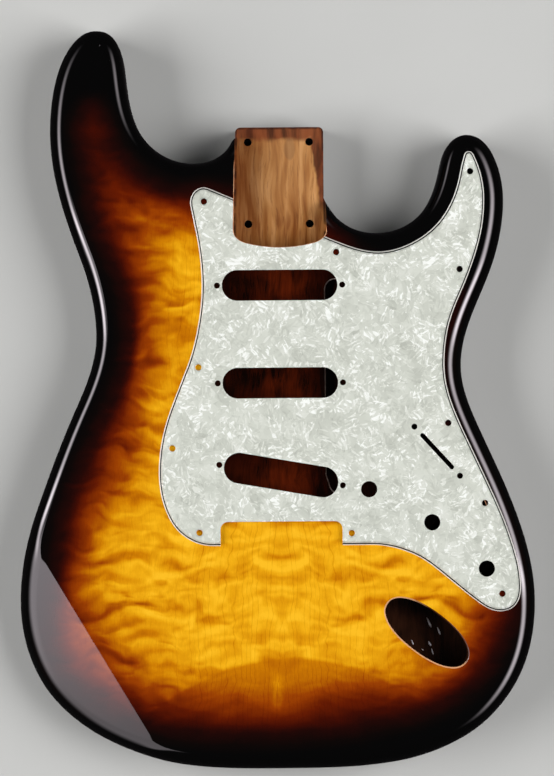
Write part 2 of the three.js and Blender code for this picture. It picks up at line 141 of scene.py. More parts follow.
# The outlines, clockwise: x as a share of half the width, y as a share of half the length, and the heading.
OUTLINE_SHARES = [
    (-0.708, 1, 0), (-0.662, 0.9935, 331), (-0.6085, 0.938, 285), (-0.593, 0.869, 276),
    (-0.521, 0.706, 307), (-0.329, 0.639, 0), (-0.216, 0.666, 40), (-0.185, 0.693, 63),
    (-0.112, 0.722, 0), (0.094, 0.722, 0), (0.168, 0.67, 270), (0.1685, 0.565, 271),
    (0.205, 0.506, 305), (0.376, 0.447, 0), (0.551, 0.4995, 48), (0.627, 0.624, 77.7),
    (0.6625, 0.687, 51), (0.73, 0.711, 0), (0.793, 0.694, 319), (0.845, 0.636, 291),
    (0.871, 0.535, 270), (0.843, 0.398, 255), (0.773, 0.269, 246.4), (0.7015, 0.087, 270),
    (0.7215, 0.003, 288), (0.7975, -0.124, 294.5), (0.896, -0.282, 291), (0.982, -0.551, 270),
    (0.923, -0.75, 244.5), (0.8075, -0.862, 225), (0.6433, -0.939, 205), (0.455, -0.981, 190.5),
    (0.031, -1, 180), (-0.3436, -0.9912, 173.5), (-0.63, -0.938, 157), (-0.8025, -0.869, 142),
    (-0.936, -0.7675, 121), (-1.0185, -0.551, 90), (-0.95, -0.298, 70.5), (-0.7915, -0.018, 65.5),
    (-0.7135, 0.18, 91), (-0.777, 0.391, 110.7), (-0.887, 0.725, 90), (-0.864, 0.8636, 76),
    (-0.8044, 0.958, 54),
]
GUARD_SHARES = [
    (0.7365, 0.6645, 356), (0.7635, 0.641, 294.5), (0.7785, 0.6115, 287), (0.794, 0.535, 270),
    (0.775, 0.4285, 256), (0.702, 0.2855, 246), (0.6555, 0.202, 254.6), (0.635, 0.0885, 270),
    (0.6575, -0.0035, 288), (0.7235, -0.114, 295), (0.796, -0.223, 294.6), (0.879, -0.3625, 288.6),
    (0.9245, -0.508, 270), (0.9065, -0.5575, 234), (0.8435, -0.577, 180), (0.7565, -0.551, 143),
    (0.621, -0.474, 140.6), (0.516, -0.4235, 155), (0.345, -0.3955, 180), (-0.264, -0.3955, 180),
    (-0.3775, -0.3685, 143), (-0.4345, -0.3195, 116.3), (-0.473, -0.2, 90), (-0.4495, -0.0775, 75),
    (-0.4065, 0.0085, 69), (-0.3585, 0.092, 69.4), (-0.323, 0.178, 78.2), (-0.3015, 0.31, 90),
    (-0.3215, 0.448, 100.7), (-0.34, 0.5135, 101.5), (-0.343, 0.5385, 81), (-0.291, 0.5725, 0),
    (-0.266, 0.568, 338), (0.211, 0.4275, 338), (0.3835, 0.3955, 0), (0.496, 0.4135, 23.4),
    (0.601, 0.4625, 44.6), (0.671, 0.536, 66.3), (0.705, 0.6215, 79.6), (0.7165, 0.652, 77),
]

# Places on the face in the same shares, some with the degrees that a slot is turned by.
HEEL_END_SHARES = (0.003, 0.737)
POCKET_END_SHARES = (0.003, 0.41)
NECK_BOLT_SHARES = (0, 0.586)
PICKUP_SHARES = [(0, 0.307, 0), (0, 0.0435, 0), (0, -0.205, -9.84)]
POT_SHARES = [(0.34, -0.245), (0.583, -0.3355), (0.7925, -0.4615)]
SWITCH_SHARES = (0.604, -0.144, -47.6)
JACK_SHARES = (0.5585, -0.633, -37.5)
NOTCH_TOP_SHARES = (0, -0.33)
MOUNT_HOLE_SHARES = [
    (-0.29, 0.534), (-0.3165, 0.087), (-0.4195, -0.131), (-0.317, -0.359), (0.2715, -0.363),
    (0.852, -0.5295), (0.788, -0.2845), (0.648, -0.068), (0.6965, 0.3465), (0.74, 0.61), (0.22, 0.395),
]
WIRING_BAY_SHARES = [
    (0.1775, 0.324), (0.2715, 0.324), (0.2715, -0.15), (0.47, -0.15), (0.47, -0.375),
    (0.288, -0.314), (0.195, -0.245), (0.1775, -0.208),
]
CONTROL_SHARES = [
    (0.44, -0.17), (0.419, -0.081), (0.53, -0.01), (0.699, -0.144), (0.797, -0.297),
    (0.872, -0.45), (0.865, -0.52), (0.746, -0.511), (0.552, -0.409), (0.44, -0.36),
]
WIRE_BORE_SHARES = [(0.62, -0.6), (0.74, -0.46)]
CREASE_SHARES = [(-0.848, -0.515), (-0.5255, -0.8916)]
BELLY_ENTRY_SHARES = [(-0.42, -0.3), (-0.42, 0.45)]
BELLY_END_SHARES = [[(-1.02, -0.46), (-0.42, -0.305)], [(-0.42, 0.5), (-0.91, 0.63)]]
JACK_FULLNESS_SHARE = 1.1
BEND_SHARE = 0.75

# The sunburst, drawn as three closed lines in millimetres: where black starts to show red, the
# middle of the fade, and where amber is reached. Each is the tone, from 0 to 1, that it stands for.
BURST_LINES = [
    (0.14, [
        (-115, 178), (-120, 168), (-118, 150), (-114, 132), (-113, 118), (-108, 102), (-99.5, 84),
        (-93.5, 68), (-90.5, 46), (-92.5, 24), (-99, 4), (-108, -16), (-120, -42), (-131, -72), (-136, -98),
        (-140.5, -121), (-142.5, -140), (-139.5, -160), (-128.5, -175), (-113, -187), (-96, -194),
        (-78, -200), (-40, -204.5), (0, -204.5), (36, -202), (62, -197), (80, -193), (96, -187),
        (110, -179), (122, -168),
        (131, -154), (138, -140), (142, -122), (138, -96), (128, -66), (112, -36), (100, -8), (96, 18),
        (101, 44), (106, 66), (100, 80), (84, 80), (66, 76), (46, 86), (28, 104), (-20, 122), (-44, 126),
        (-60, 125), (-74, 129), (-88, 137), (-98, 147), (-106, 160), (-110, 171),
    ]),
    (0.51, [
        (-97, 120), (-93.5, 108), (-92, 94), (-88, 80), (-85, 66), (-85, 44), (-87, 26), (-91, 6),
        (-96, -12), (-103, -32), (-109, -52), (-119, -68), (-124, -88), (-128, -108), (-130, -128),
        (-128, -147), (-114, -161.5), (-101, -173), (-85.5, -181), (-60, -189), (-36, -192.5), (0, -194.5),
        (20, -188), (44, -182.5), (70, -183), (88, -179), (102, -171), (111, -162), (117, -150),
        (120, -141), (128, -130), (129, -112), (124, -84), (112, -54), (96, -28), (84, -4), (80, 20),
        (84, 44), (82, 58), (64, 58), (44, 66), (24, 88), (-24, 104), (-50, 112), (-64, 117), (-80, 121),
        (-90, 122),
    ]),
    (0.855, [
        (-62, 93), (-67, 76), (-66.5, 56), (-66, 36), (-70, 16), (-77, -4), (-80, -24), (-85, -44),
        (-93, -60), (-104, -78), (-111, -96), (-113, -108), (-108, -122), (-101, -134), (-94.5, -148),
        (-86, -160), (-72, -168), (-52, -173), (-28, -175.5), (0, -175.5), (22, -173), (46, -171),
        (72, -168), (90, -162), (104, -146), (113, -128), (113, -108), (106, -82), (92, -56), (76, -30),
        (64, -4), (60, 20), (58, 36), (40, 44), (20, 62), (-24, 84), (-46, 96),
    ]),
]
DEEPEST_TONE = 0.97
BLACK_FADE = 14
AMBER_FADE = 18
# How much darker the flat side is beside the crease, how far in that reaches and how fast it fades, the tone
# from which it is full, and how far over the crease it starts.
CREASE_DIP = 0.085
CREASE_DIP_REACH = 13
CREASE_DIP_POWER = 1.5
CREASE_DIP_TONE = 0.3
CREASE_SLACK = 0.1
# The darker arch of figure at the butt: the middle of its edge, and how fast that falls to the sides.
ARCH_TOP = (6, -159.5)
ARCH_FALL = 230
# The lighter streak beside the seam that crosses it: its middle, and the window that it shows in.
SEAM_STREAK_X = -3.4
SEAM_STREAK_REACH = (-195, -187, -181, -162)
# The back's own fade, as distances in from the edge.
BACK_FADE = (24, 74)

# Lacquer tones from black to amber: each stop's place, and its colour as displayed, of 255.
BURST_TONES = [
    (0, (4, 4, 4)), (0.047, (11, 5, 4)), (0.113, (30, 6, 4)), (0.235, (62, 11, 2)), (0.376, (98, 25, 1)),
    (0.508, (133, 48, 1)), (0.592, (155, 65, 2)), (0.686, (180, 97, 2)), (0.78, (205, 125, 3)),
    (0.846, (222, 149, 10)), (0.902, (233, 164, 16)), (0.94, (242, 175, 22)), (1, (252, 190, 36)),
]
MAPLE_BRIGHTNESS = 0.963
GROWTH_RING = 7.5
# Bare wood of the neck pocket, and pearl, in the same way.
POCKET_TONES = [
    (0.28, (116, 60, 24)), (0.42, (150, 93, 43)), (0.54, (178, 123, 69)), (0.7, (208, 155, 100)),
]
PEARL_TONES = [
    (0.06, (180, 183, 173)), (0.3, (199, 202, 192)), (0.5, (213, 216, 206)), (0.7, (227, 229, 221)),
    (0.9, (248, 250, 246)),
]
# The pocket's stains. One lies at the heel's end: how deep in it starts, and is full. The other lies along
# the treble wall: at which x it starts and is full, the y where that holds, and how it leans from there. Then
# how fast the pocket's half width grows inward.
HEEL_STAIN_DEPTHS = (9.5, 5.5)
SIDE_STAIN = (23.5, 25.5)
SIDE_STAIN_LOW = 128
SIDE_STAIN_LEAN = 0.15
POCKET_FLARE = 0.019
# A darker smudge on its floor: its middle, and its half sizes, of which the depth is without limit.
POCKET_SMUDGE = (6.8, 155)
POCKET_SMUDGE_SIZE = (3.6, 7, 1e6)
# Across the body, the span where the cavities' lacquer carries painted light, with painted shade towards the
# sides, and the way in which the jack recess's edge darkens.
PAINTED_CAVITY_LIGHT = (-38, -4, 8, 38)
JACK_EDGE_WAY = (-0.8, -0.6, 0)

CAMERA_PLACE = (-2.1, 6.8)
CAMERA_DISTANCE = 2600
CAMERA_TURN = -0.46
FRAME_HEIGHT = 478.8
CLIP_END = 50000
FLOOR_SIZE = 2600
FLOOR_SLAB = (-1.2, -0.2)
STRIP_TINT = (1, 0.91, 0.965)
ROOM_GLOW = 0.025
BACKDROP_GLOW = 0.57


def direction(degrees):
    angle = math.radians(degrees)
    return np.array([math.cos(angle), math.sin(angle)])


def place(shares):
    """One place or several, from their first two shares."""
    return np.array(shares)[..., :2] * (HALF_WIDTH, HALF_LENGTH)


def unit(rows):
    return rows / np.linalg.norm(rows, axis=1)[:, None]


def eased(share):
    """A share kept from 0 to 1, with a smooth start and end."""
    share = np.clip(share, 0, 1)
    return share * share * (3 - 2 * share)


def counter_clockwise(line):
    x, y = line.T
    area = np.sum(x * np.roll(y, -1) - np.roll(x, -1) * y)
    return line if area > 0 else line[::-1]


def bend(knots):
    """One closed line through knots (x, y, heading before, heading after), bending as arcs do."""
    stretches = []
    for i, (x, y, _, leaving) in enumerate(knots):
        end_x, end_y, arriving, _ = knots[(i + 1) % len(knots)]
        start, end = np.array([x, y]), np.array([end_x, end_y])
        chord = np.linalg.norm(end - start)
        if chord < TINY:
            continue
        turn = abs((arriving - leaving + 180) % 360 - 180)
        quarter = math.radians(turn) / 4
        handle = chord / 3
        if turn:
            handle = chord * 2 / 3 * math.tan(quarter) / math.sin(2 * quarter)
        ahead = start + handle * direction(leaving)
        back = end - handle * direction(arriving)
        steps = 1
        if turn >= STRAIGHT_TURN:
            steps = max(math.ceil(turn / FACET_TURN), math.ceil(chord / LONGEST_FACET))
        t = (np.arange(steps) / steps)[:, None]
        u = 1 - t
        stretches.append(u ** 3 * start + 3 * u * u * t * ahead + 3 * u * t * t * back + t ** 3 * end)
    return counter_clockwise(np.vstack(stretches))


def outline(table):
    drawn_length = HALF_WIDTH * DRAWN_LENGTH_SHARE
    line = bend([(x * HALF_WIDTH, y * drawn_length, heading, heading) for x, y, heading in table])
    return line * (1, HALF_LENGTH / drawn_length)


def heading_of(vector):
    return math.degrees(math.atan2(vector[1], vector[0]))


def rounded_polygon(corners, radius):
    knots = []
    for i, corner in enumerate(corners):
        arriving = corner - corners[i - 1]
        leaving = corners[(i + 1) % len(corners)] - corner
        lengths = np.linalg.norm(arriving), np.linalg.norm(leaving)
        arriving, leaving = arriving / lengths[0], leaving / lengths[1]
        turn = math.acos(np.clip(arriving @ leaving, -1, 1))
        reach = min(radius * math.tan(turn / 2), min(lengths) / 2)
        for point, heading in ((corner - arriving * reach, arriving), (corner + leaving * reach, leaving)):
            knots.append((*point, heading_of(heading), heading_of(heading)))
    return bend(knots)


def rectangle(low, high):
    return np.array((low, (high[0], low[1]), high, (low[0], high[1])), float)


def turned(line, shares):
    x_axis = direction(shares[2])
    y_axis = np.array([-x_axis[1], x_axis[0]])
    return np.asarray(line) @ np.array([x_axis, y_axis]) + place(shares)


def slot_line(size, shares):
    end, side = size[0] / 2, size[1] / 2
    shoulder = end - side
    line = bend([
        (-shoulder, side, 0, 0), (shoulder, side, 0, 0), (end, 0, 270, 270),
        (shoulder, -side, 180, 180), (-shoulder, -side, 180, 180), (-end, 0, 90, 90),
    ])
    return turned(line, shares)


def circle(at, diameter):
    return oval((diameter, diameter), 1, HOLE_SIDES) + at


def oval(size, fullness, sides):
    angle = np.arange(sides) / sides * 2 * math.pi
    wave = np.column_stack([np.cos(angle), np.sin(angle)])
    return np.sign(wave) * np.abs(wave) ** (1 / fullness) * np.array(size) / 2


def line_frame(line):
    """At each point: the way along the line, and the radius of its bend, negative where it is hollow."""
    before, after = np.roll(line, 1, axis=0), np.roll(line, -1, axis=0)
    arriving, leaving = line - before, after - line
    long_in, long_out = np.linalg.norm(arriving, axis=1), np.linalg.norm(leaving, axis=1)
    bulge = 2 * (arriving[:, 0] * leaving[:, 1] - arriving[:, 1] * leaving[:, 0])
    bulge = np.where(np.abs(bulge) < LEAST_BULGE, LEAST_BULGE, bulge)
    radius = long_in * long_out * np.linalg.norm(after - before, axis=1) / bulge
    return unit(arriving / (long_in ** 2)[:, None] + leaving / (long_out ** 2)[:, None]), radius


def ring(line, inset, height):
    """A line moved inward, at a height given by a number or by a function of the place."""
    along, radius = line_frame(line)
    reach = np.where(radius > 0, np.minimum(inset, radius * BEND_SHARE), inset)
    moved = line + np.column_stack([-along[:, 1], along[:, 0]]) * reach[:, None]
    heights = height(moved) if callable(height) else np.full(len(moved), float(height))
    return np.column_stack([moved, heights])


def edge_rings(line, radius, face, side):
    """Rings of a rounded edge, from the line to the face, below it (side 1) or above it (side -1)."""
    rings = []
    for i in range(EDGE_STEPS + 1):
        angle = i / EDGE_STEPS * math.pi / 2
        drop = side * radius * (1 - math.sin(angle))
        rings.append(ring(line, radius * (1 - math.cos(angle)), lambda p, drop=drop: face(p) - drop))
    return rings


def inside(points, line):
    """Whether each point lies inside a closed line."""
    x, y = points.T
    found = np.zeros(len(points), bool)
    for (x0, y0), (x1, y1) in zip(line, np.roll(line, -1, axis=0)):
        crosses = (y0 > y) != (y1 > y)
        if crosses.any():
            at = x0 + (y - y0) / (y1 - y0 if y1 != y0 else 1) * (x1 - x0)
            found ^= crosses & (x < at)
    return found


def nearest(points, line):
    """The distance from each point to a closed line, and the line's outward way at the nearest place."""
    along, _ = line_frame(line)
    outward = np.column_stack([along[:, 1], -along[:, 0]])
    next_outward = np.roll(outward, -1, axis=0)
    step = np.roll(line, -1, axis=0) - line
    long2 = np.sum(step ** 2, axis=1)
    distances, ways = np.empty(len(points)), np.empty((len(points), 2))
    for start in range(0, len(points), POINTS_AT_ONCE):
        stretch = slice(start, start + POINTS_AT_ONCE)
        part = points[stretch]
        offset = part[:, None, :] - line[None]
        t = np.clip(np.sum(offset * step[None], axis=2) / long2, 0, 1)
        gap = np.linalg.norm(offset - t[..., None] * step[None], axis=2)
        best = np.argmin(gap, axis=1)
        rows = np.arange(len(part))
        share = t[rows, best][:, None]
        distances[stretch] = gap[rows, best]
        ways[stretch] = unit(outward[best] * (1 - share) + next_outward[best] * share)
    return distances, ways


def depth_inside(points, line):
    distance, _ = nearest(points, line)
    return np.where(inside(points, line), distance, -distance)


def rising_plane(line_shares, slope):
    """The height, over the back, of a plane that rises to the left of a line."""
    start, end = place(line_shares)
    along = (end - start) / np.linalg.norm(end - start)
    rise = math.tan(math.radians(slope))
    return lambda p: ((p[:, 1] - start[1]) * along[0] - (p[:, 0] - start[0]) * along[1]) * rise


def forearm_face(points):
    return BODY_THICKNESS + rising_plane(CREASE_SHARES, FOREARM_TILT)(points)


def beyond_crease(points):
    """How far each place lies past the crease, on the flat side."""
    return (forearm_face(points) - BODY_THICKNESS) / math.tan(math.radians(FOREARM_TILT))


def soft_min(a, b, blend):
    near = np.maximum(blend - np.abs(a - b), 0) / blend
    return np.minimum(a, b) - near ** 2 * blend / 4


def belly_face(points):
    """The back's height over the bench: flat, and hollowed by a large cylinder with two run-outs."""
    entry = math.radians(BELLY_ENTRY_SLOPE)
    half = BELLY_HOLLOW_RADIUS * math.sin(entry)
    distance = rising_plane(BELLY_ENTRY_SHARES, 45)(points)
    across = np.minimum(half - np.minimum(distance, half), BELLY_HOLLOW_RADIUS * BELLY_WIDEST_SHARE)
    hollow = np.sqrt(BELLY_HOLLOW_RADIUS ** 2 - across ** 2) - BELLY_HOLLOW_RADIUS * math.cos(entry)
    for line in BELLY_END_SHARES:
        hollow = soft_min(hollow, rising_plane(line, BELLY_RUN_OUT_SLOPE)(points), BELLY_BLEND)
    return -soft_min(-hollow, np.zeros(len(points)), BELLY_BLEND)


def face_level(height):
    return lambda points: np.full(len(points), float(height))


# Meshes

def cap(edge, height):
    """Fine triangles over a ring's inside, at heights given by a function of the place."""
    flat = edge[:, :2]
    low, high = flat.min(axis=0), flat.max(axis=0)
    grid = np.array([
        (x, y) for i, y in enumerate(np.arange(low[1], high[1], CAP_SPACING * math.sqrt(3) / 2))
        for x in np.arange(low[0] + (i % 2) * CAP_SPACING / 2, high[0], CAP_SPACING)
    ])
    grid = grid[inside(grid, flat)]
    grid = grid[nearest(grid, flat)[0] > CAP_SPACING / 2]
    points = np.vstack([flat, grid])
    border = [(i, (i + 1) % len(flat)) for i in range(len(flat))]
    found = delaunay_2d_cdt([Vector(p) for p in points], border, [], 1, MERGED_WITHIN, True)
    origin = np.array([ids[0] for ids in found[3]])
    triangles = origin[np.array(found[2])]
    triangles = triangles[inside(points[triangles].mean(axis=1), flat)]
    return np.column_stack([grid, height(grid)]), triangles.tolist()


def add_object(name, data):
    made = bpy.data.objects.new(name, data)
    bpy.context.scene.collection.objects.link(made)
    return made


def mesh_object(name, vertices, faces, materials, slots):
    mesh = bpy.data.meshes.new(name)
    mesh.from_pydata((np.asarray(vertices) * MM).tolist(), [], faces)
    for material in materials:
        mesh.materials.append(material)
    mesh.polygons.foreach_set("material_index", slots)
    mesh.update()
    return add_object(name, mesh)


def loft(name, rings, material, caps=(None, None), band_materials=None):
    """A solid through rings from low to high. A cap's height function makes it a fine one."""
    count = len(rings[0])
    vertices = np.vstack(rings)
    band_materials = band_materials or {}
    materials = [material, *band_materials.values()]
    bands = {band: i + 1 for i, band in enumerate(band_materials)}
    faces, slots = [], []
    for level in range(len(rings) - 1):
        start = level * count
        for i in range(count):
            a, b = start + i, start + (i + 1) % count
            faces.append((a, b, b + count, a + count))
            slots.append(bands.get(level, 0))
    for level, height, step in ((0, caps[0], -1), (len(rings) - 1, caps[1], 1)):
        start = level * count
        if height is None:
            faces.append(tuple(range(start, start + count))[::step])
            slots.append(0)
            continue
        grid, triangles = cap(rings[level], height)
        shift = len(vertices)
        vertices = np.vstack([vertices, grid])
        for triangle in triangles:
            corners = tuple(v + start if v < count else v - count + shift for v in triangle)
            faces.append(corners[::step])
            slots.append(0)
    return mesh_object(name, vertices, faces, materials, slots)


def stack(name, line, levels, material, bands=None):
    """A solid through one line at several levels, each an inward move and a height."""
    return loft(name, [ring(line, inset, height) for inset, height in levels], material, band_materials=bands)


def prism(name, line, low, high, material):
    return stack(name, line, ((0, low), (0, high)), material)


def combine(piece, others, operation):
    """The piece with each of the other solids cut from it, joined to it or kept in common with it."""
    for other in others:
        step = piece.modifiers.new("step", "BOOLEAN")
        step.solver = "MANIFOLD"
        step.operation = operation
        step.material_mode = "TRANSFER"
        step.object = other
    graph = bpy.context.evaluated_depsgraph_get()
    graph.update()
    mesh = bpy.data.meshes.new_from_object(piece.evaluated_get(graph))
    piece.modifiers.clear()
    piece.data = mesh
    return piece


def discard(*pieces):
    for piece in pieces:
        bpy.data.objects.remove(piece)


def copy_of(piece):
    return add_object(piece.name, piece.data.copy())


def read_numbers(items, name):
    values = np.empty(len(items), int)
    items.foreach_get(name, values)
    return values


def read_vectors(items, name):
    values = np.empty(len(items) * 3)
    items.foreach_get(name, values)
    return values.reshape(-1, 3)


def points_of(mesh):
    return read_vectors(mesh.vertices, "co") / MM


def write_attribute(mesh, name, values):
    attribute = mesh.attributes.new(name, "FLOAT", "POINT")
    attribute.data.foreach_set("value", np.asarray(values, np.float32))


def smooth(piece):
    mesh = piece.data
    mesh.polygons.foreach_set("use_smooth", np.ones(len(mesh.polygons), bool))
    mesh.set_sharp_from_angle(angle=math.radians(SMOOTH_ANGLE))


# Shapes of the wood

def drop_slope(depth):
    """Sine of the rounded edge's slope at a depth in from the outline, and how far it lies below."""
    sine = np.clip((EDGE_RADIUS - depth) / EDGE_RADIUS, 0, 1)
    return sine, EDGE_RADIUS * (1 - np.sqrt(1 - sine ** 2))


def gradient(face, points):
    return np.column_stack([
        (face(points + step) - face(points - step)) / (2 * SLOPE_STEP)
        for step in ((SLOPE_STEP, 0), (0, SLOPE_STEP))
    ])


def blank_normals(piece, line):
    """Sets the lacquered surface's normals to those of the true rounded form."""
    mesh = piece.data
    smooth(piece)
    points = points_of(mesh)
    flat, height = points[:, :2], points[:, 2]
    distance, outward = nearest(flat, line)
    depth = np.where(inside(flat, line), distance, 0)
    sine, drop = drop_slope(depth)
    cosine = np.sqrt(1 - sine ** 2)
    leaning = outward * sine[:, None]
    forearm_slope, belly_slope = gradient(forearm_face, flat), gradient(belly_face, flat)

    def upward(slope):
        return unit(np.column_stack([leaning - slope * cosine[:, None], cosine]))

    reach = np.maximum(
        CREASE_BLEND * np.clip(1 - depth / CREASE_BLEND_DEPTH, 0, 1) ** CREASE_BLEND_POWER, LEAST_BLEND)
    share = eased((reach - beyond_crease(flat)) / (2 * reach))[:, None]
    fade = np.clip((CREASE_BLEND_DEPTH - depth) / CREASE_FADE, 0, 1)[:, None]
    flat_up, forearm_up = upward(np.zeros_like(forearm_slope)), upward(forearm_slope)
    blended = unit(flat_up * (1 - share) + forearm_up * share)
    flat_up, forearm_up = (unit(up * (1 - fade) + blended * fade) for up in (flat_up, forearm_up))
    down = upward(belly_slope) * (1, 1, -1)
    down[:, :2] = leaning + belly_slope * cosine[:, None]
    wall = np.column_stack([outward, np.zeros(len(outward))])
    choices = np.stack([flat_up, forearm_up, unit(down), wall], axis=1)
    gaps = np.column_stack([
        np.abs(BODY_THICKNESS - drop - height), np.abs(forearm_face(flat) - drop - height),
        np.abs(belly_face(flat) + drop - height), np.abs(depth),
    ])

    corner_vertex = read_numbers(mesh.loops, "vertex_index")
    sizes = read_numbers(mesh.polygons, "loop_total")
    normals = read_vectors(mesh.corner_normals, "vector")
    face_normals = np.repeat(read_vectors(mesh.polygons, "normal"), sizes, axis=0)
    likeness = np.einsum("cij,cj->ci", choices[corner_vertex], face_normals)
    score = np.where(gaps[corner_vertex] < SURFACE_GAPS, likeness, -1)
    best = np.argmax(score, axis=1)
    good = np.max(score, axis=1) > LEAST_LIKENESS
    normals[good] = choices[corner_vertex[good], best[good]]
    mesh.normals_split_custom_set(normals.tolist())


def heel_block(material):
    end, inner = place(HEEL_END_SHARES), place(POCKET_END_SHARES)
    low, high = (end[0] - HEEL_WIDTH / 2, inner[1]), (end[0] + HEEL_WIDTH / 2, end[1])
    line = rounded_polygon(rectangle(low, high), HEEL_CORNER_RADIUS)
    back = edge_rings(line, HEEL_EDGE_RADIUS, face_level(0), -1)[::-1]
    return loft("heel", [*back, ring(line, 0, POCKET_FLOOR + OVERRUN)], material)


def pocket_line(clearance):
    end, inner = place(HEEL_END_SHARES), place(POCKET_END_SHARES)
    heel_half = HEEL_WIDTH / 2 + clearance
    inner_half = POCKET_INNER_WIDTH / 2 + clearance
    bow_half = POCKET_INNER_WIDTH / 2 - POCKET_CORNER_RADIUS
    bow_turn = math.degrees(math.atan(POCKET_END_BULGE / bow_half)) * 2
    end_y = inner[1] - clearance
    bow_y = end_y + POCKET_END_BULGE
    corner_y = bow_y + POCKET_CORNER_RADIUS + clearance
    open_y = end[1] + OVERRUN
    flare = math.degrees(math.atan((inner_half - heel_half) / (open_y - corner_y)))
    return bend([
        (end[0] + heel_half, open_y, 0, 270 + flare), (inner[0] + inner_half, corner_y, 270 + flare, 270),
        (inner[0] + bow_half, bow_y, 180 + bow_turn, 180 + bow_turn), (inner[0], end_y, 180, 180),
        (inner[0] - bow_half, bow_y, 180 - bow_turn, 180 - bow_turn),
        (inner[0] - inner_half, corner_y, 90, 90 - flare), (end[0] - heel_half, open_y, 90 - flare, 0),
    ])


def pickup_route_line(shares):
    half = np.array(PICKUP_ROUTE) / 2
    return turned(rounded_polygon(rectangle(-half, half), CUTTER_RADIUS), shares)


def route(name, line, floor, finish, rim):
    """A cutter for a pocket with a small bevel on its rim."""
    top, bevel = BODY_THICKNESS, ROUTE_RIM_BEVEL
    levels = (0, floor), (0, top - bevel), (-bevel, top), (-bevel, top + OVERRUN)
    return stack(name, line, levels, finish, {1: rim})


def channel_rim(name, line, finish, rim):
    """A cutter for the bevel that the wiring channel has where it opens in a pickup route's floor."""
    floor, bevel = BODY_THICKNESS - PICKUP_ROUTE_DEPTH, CHANNEL_RIM_BEVEL
    levels = (OVERRUN, floor - bevel - OVERRUN), (0, floor - bevel), (-bevel, floor), (-bevel, floor + bevel)
    return stack(name, line, levels, finish, {1: rim})


def jack_cut(finish, rim):
    line = turned(oval(JACK_SIZE, JACK_FULLNESS_SHARE, JACK_SIDES), JACK_SHARES)
    top, bevel = BODY_THICKNESS, JACK_RIM_BEVEL
    inward, down = JACK_RIM_MIDDLE
    levels = (
        (bevel, JACK_FLOOR), (bevel, top - bevel), (bevel * inward, top - bevel * down), (0, top),
        (0, top + OVERRUN),
    )
    return stack("jack_cut", line, levels, finish, {1: rim, 2: rim})


def wire_bore(material):
    start, end = place(WIRE_BORE_SHARES)
    run = end - start
    along = Vector((*run, 0)).normalized()
    bore = bmesh.new()
    bmesh.ops.create_cone(
        bore, cap_ends=True, segments=HOLE_SIDES, radius1=WIRE_BORE / 2 * MM, radius2=WIRE_BORE / 2 * MM,
        depth=np.linalg.norm(run) * MM)
    bmesh.ops.transform(bore, matrix=along.to_track_quat("Z", "Y").to_matrix().to_4x4(), verts=bore.verts)
    middle = Vector((*((start + end) / 2), WIRE_BORE_HEIGHT)) * MM
    bmesh.ops.translate(bore, vec=middle, verts=bore.verts)
    mesh = bpy.data.meshes.new("bore")
    bore.to_mesh(mesh)
    bore.free()
    mesh.materials.append(material)
    return add_object("bore", mesh)


def neck_bolt_places():
    centre = place(NECK_BOLT_SHARES)
    half = np.array(NECK_BOLT_SPACING) / 2
    return [centre + half * way for way in ((-1, -1), (1, -1), (1, 1), (-1, 1))]


def wood_cutters(finishes):
    lacquer, rim, bare = finishes["cavity"], finishes["rim"], finishes["pocket"]
    # The wiring channel's bevel is coloured near white as a painted highlight.
    channel_edge = finishes["channel_rim"]
    wiring = rounded_polygon(place(WIRING_BAY_SHARES), CUTTER_RADIUS)
    control = rounded_polygon(place(CONTROL_SHARES), CUTTER_RADIUS)
    floor = BODY_THICKNESS - PICKUP_ROUTE_DEPTH
    lines = [pickup_route_line(shares) for shares in PICKUP_SHARES]
    rims = []
    for i, line in enumerate(lines):
        room = prism("room", line, floor - OVERRUN, floor + CHANNEL_RIM_BEVEL, lacquer)
        edge = channel_rim(f"channel_rim_{i}", wiring, lacquer, channel_edge)
        rims.append(combine(edge, [room], "INTERSECT"))
        discard(room)
    return [
        route("pocket_cut", pocket_line(0), POCKET_FLOOR, bare, rim),
        route("wiring_cut", wiring, BODY_THICKNESS - WIRING_BAY_DEPTH, lacquer, rim),
        route("control_cut", control, CONTROL_FLOOR, lacquer, rim),
        *[route(f"pickup_cut_{i}", line, floor, lacquer, rim) for i, line in enumerate(lines)],
        *rims,
        jack_cut(finishes["jack"], finishes["jack_rim"]),
        wire_bore(lacquer),
        *[prism("bolt", circle(at, NECK_BOLT_HOLE), -OVERRUN, BODY_THICKNESS + OVERRUN, finishes["hole"])
          for at in neck_bolt_places()],
    ]


def half_space(name, face, material):
    """Everything above a surface, as far as the body goes."""
    return prism(name, rectangle((-FAR, -FAR), (FAR, FAR)), face, FAR, material)


def island_space(lower, upper, material):
    high = (np.mean(place(WIRING_BAY_SHARES[:2]), axis=0)[0], place(upper)[1])
    return prism("island_space", rectangle((0, place(lower)[1]), high), -FAR, FAR, material)


def blank(line, finish):
    top, back = face_level(BODY_THICKNESS), belly_face
    rounded = loft(
        "blank",
        [*edge_rings(line, EDGE_RADIUS, back, -1)[::-1], *edge_rings(line, EDGE_RADIUS, top, 1)],
        finish, caps=(back, top))
    under = loft(
        "under_forearm",
        [ring(line, -OVERRUN, -FAR),
         ring(line, -OVERRUN, lambda p: forearm_face(p) - EDGE_RADIUS - OVERRUN),
         *edge_rings(line, EDGE_RADIUS, forearm_face, 1)],
        finish, caps=(None, forearm_face))
    combine(rounded, [under], "INTERSECT")
    discard(under)
    return rounded


def closed_curve(knots):
    """A smooth closed line through given points."""
    p1 = np.array(knots, float)
    p0, p2, p3 = (np.roll(p1, shift, axis=0) for shift in (1, -1, -2))
    rows = []
    for t in np.arange(CURVE_STEPS) / CURVE_STEPS:
        rows.append((
            2 * p1 + (p2 - p0) * t + (2 * p0 - 5 * p1 + 4 * p2 - p3) * t ** 2
            + (3 * p1 - p0 - 3 * p2 + p3) * t ** 3) / 2)
    return counter_clockwise(np.stack(rows, axis=1).reshape(-1, 2))


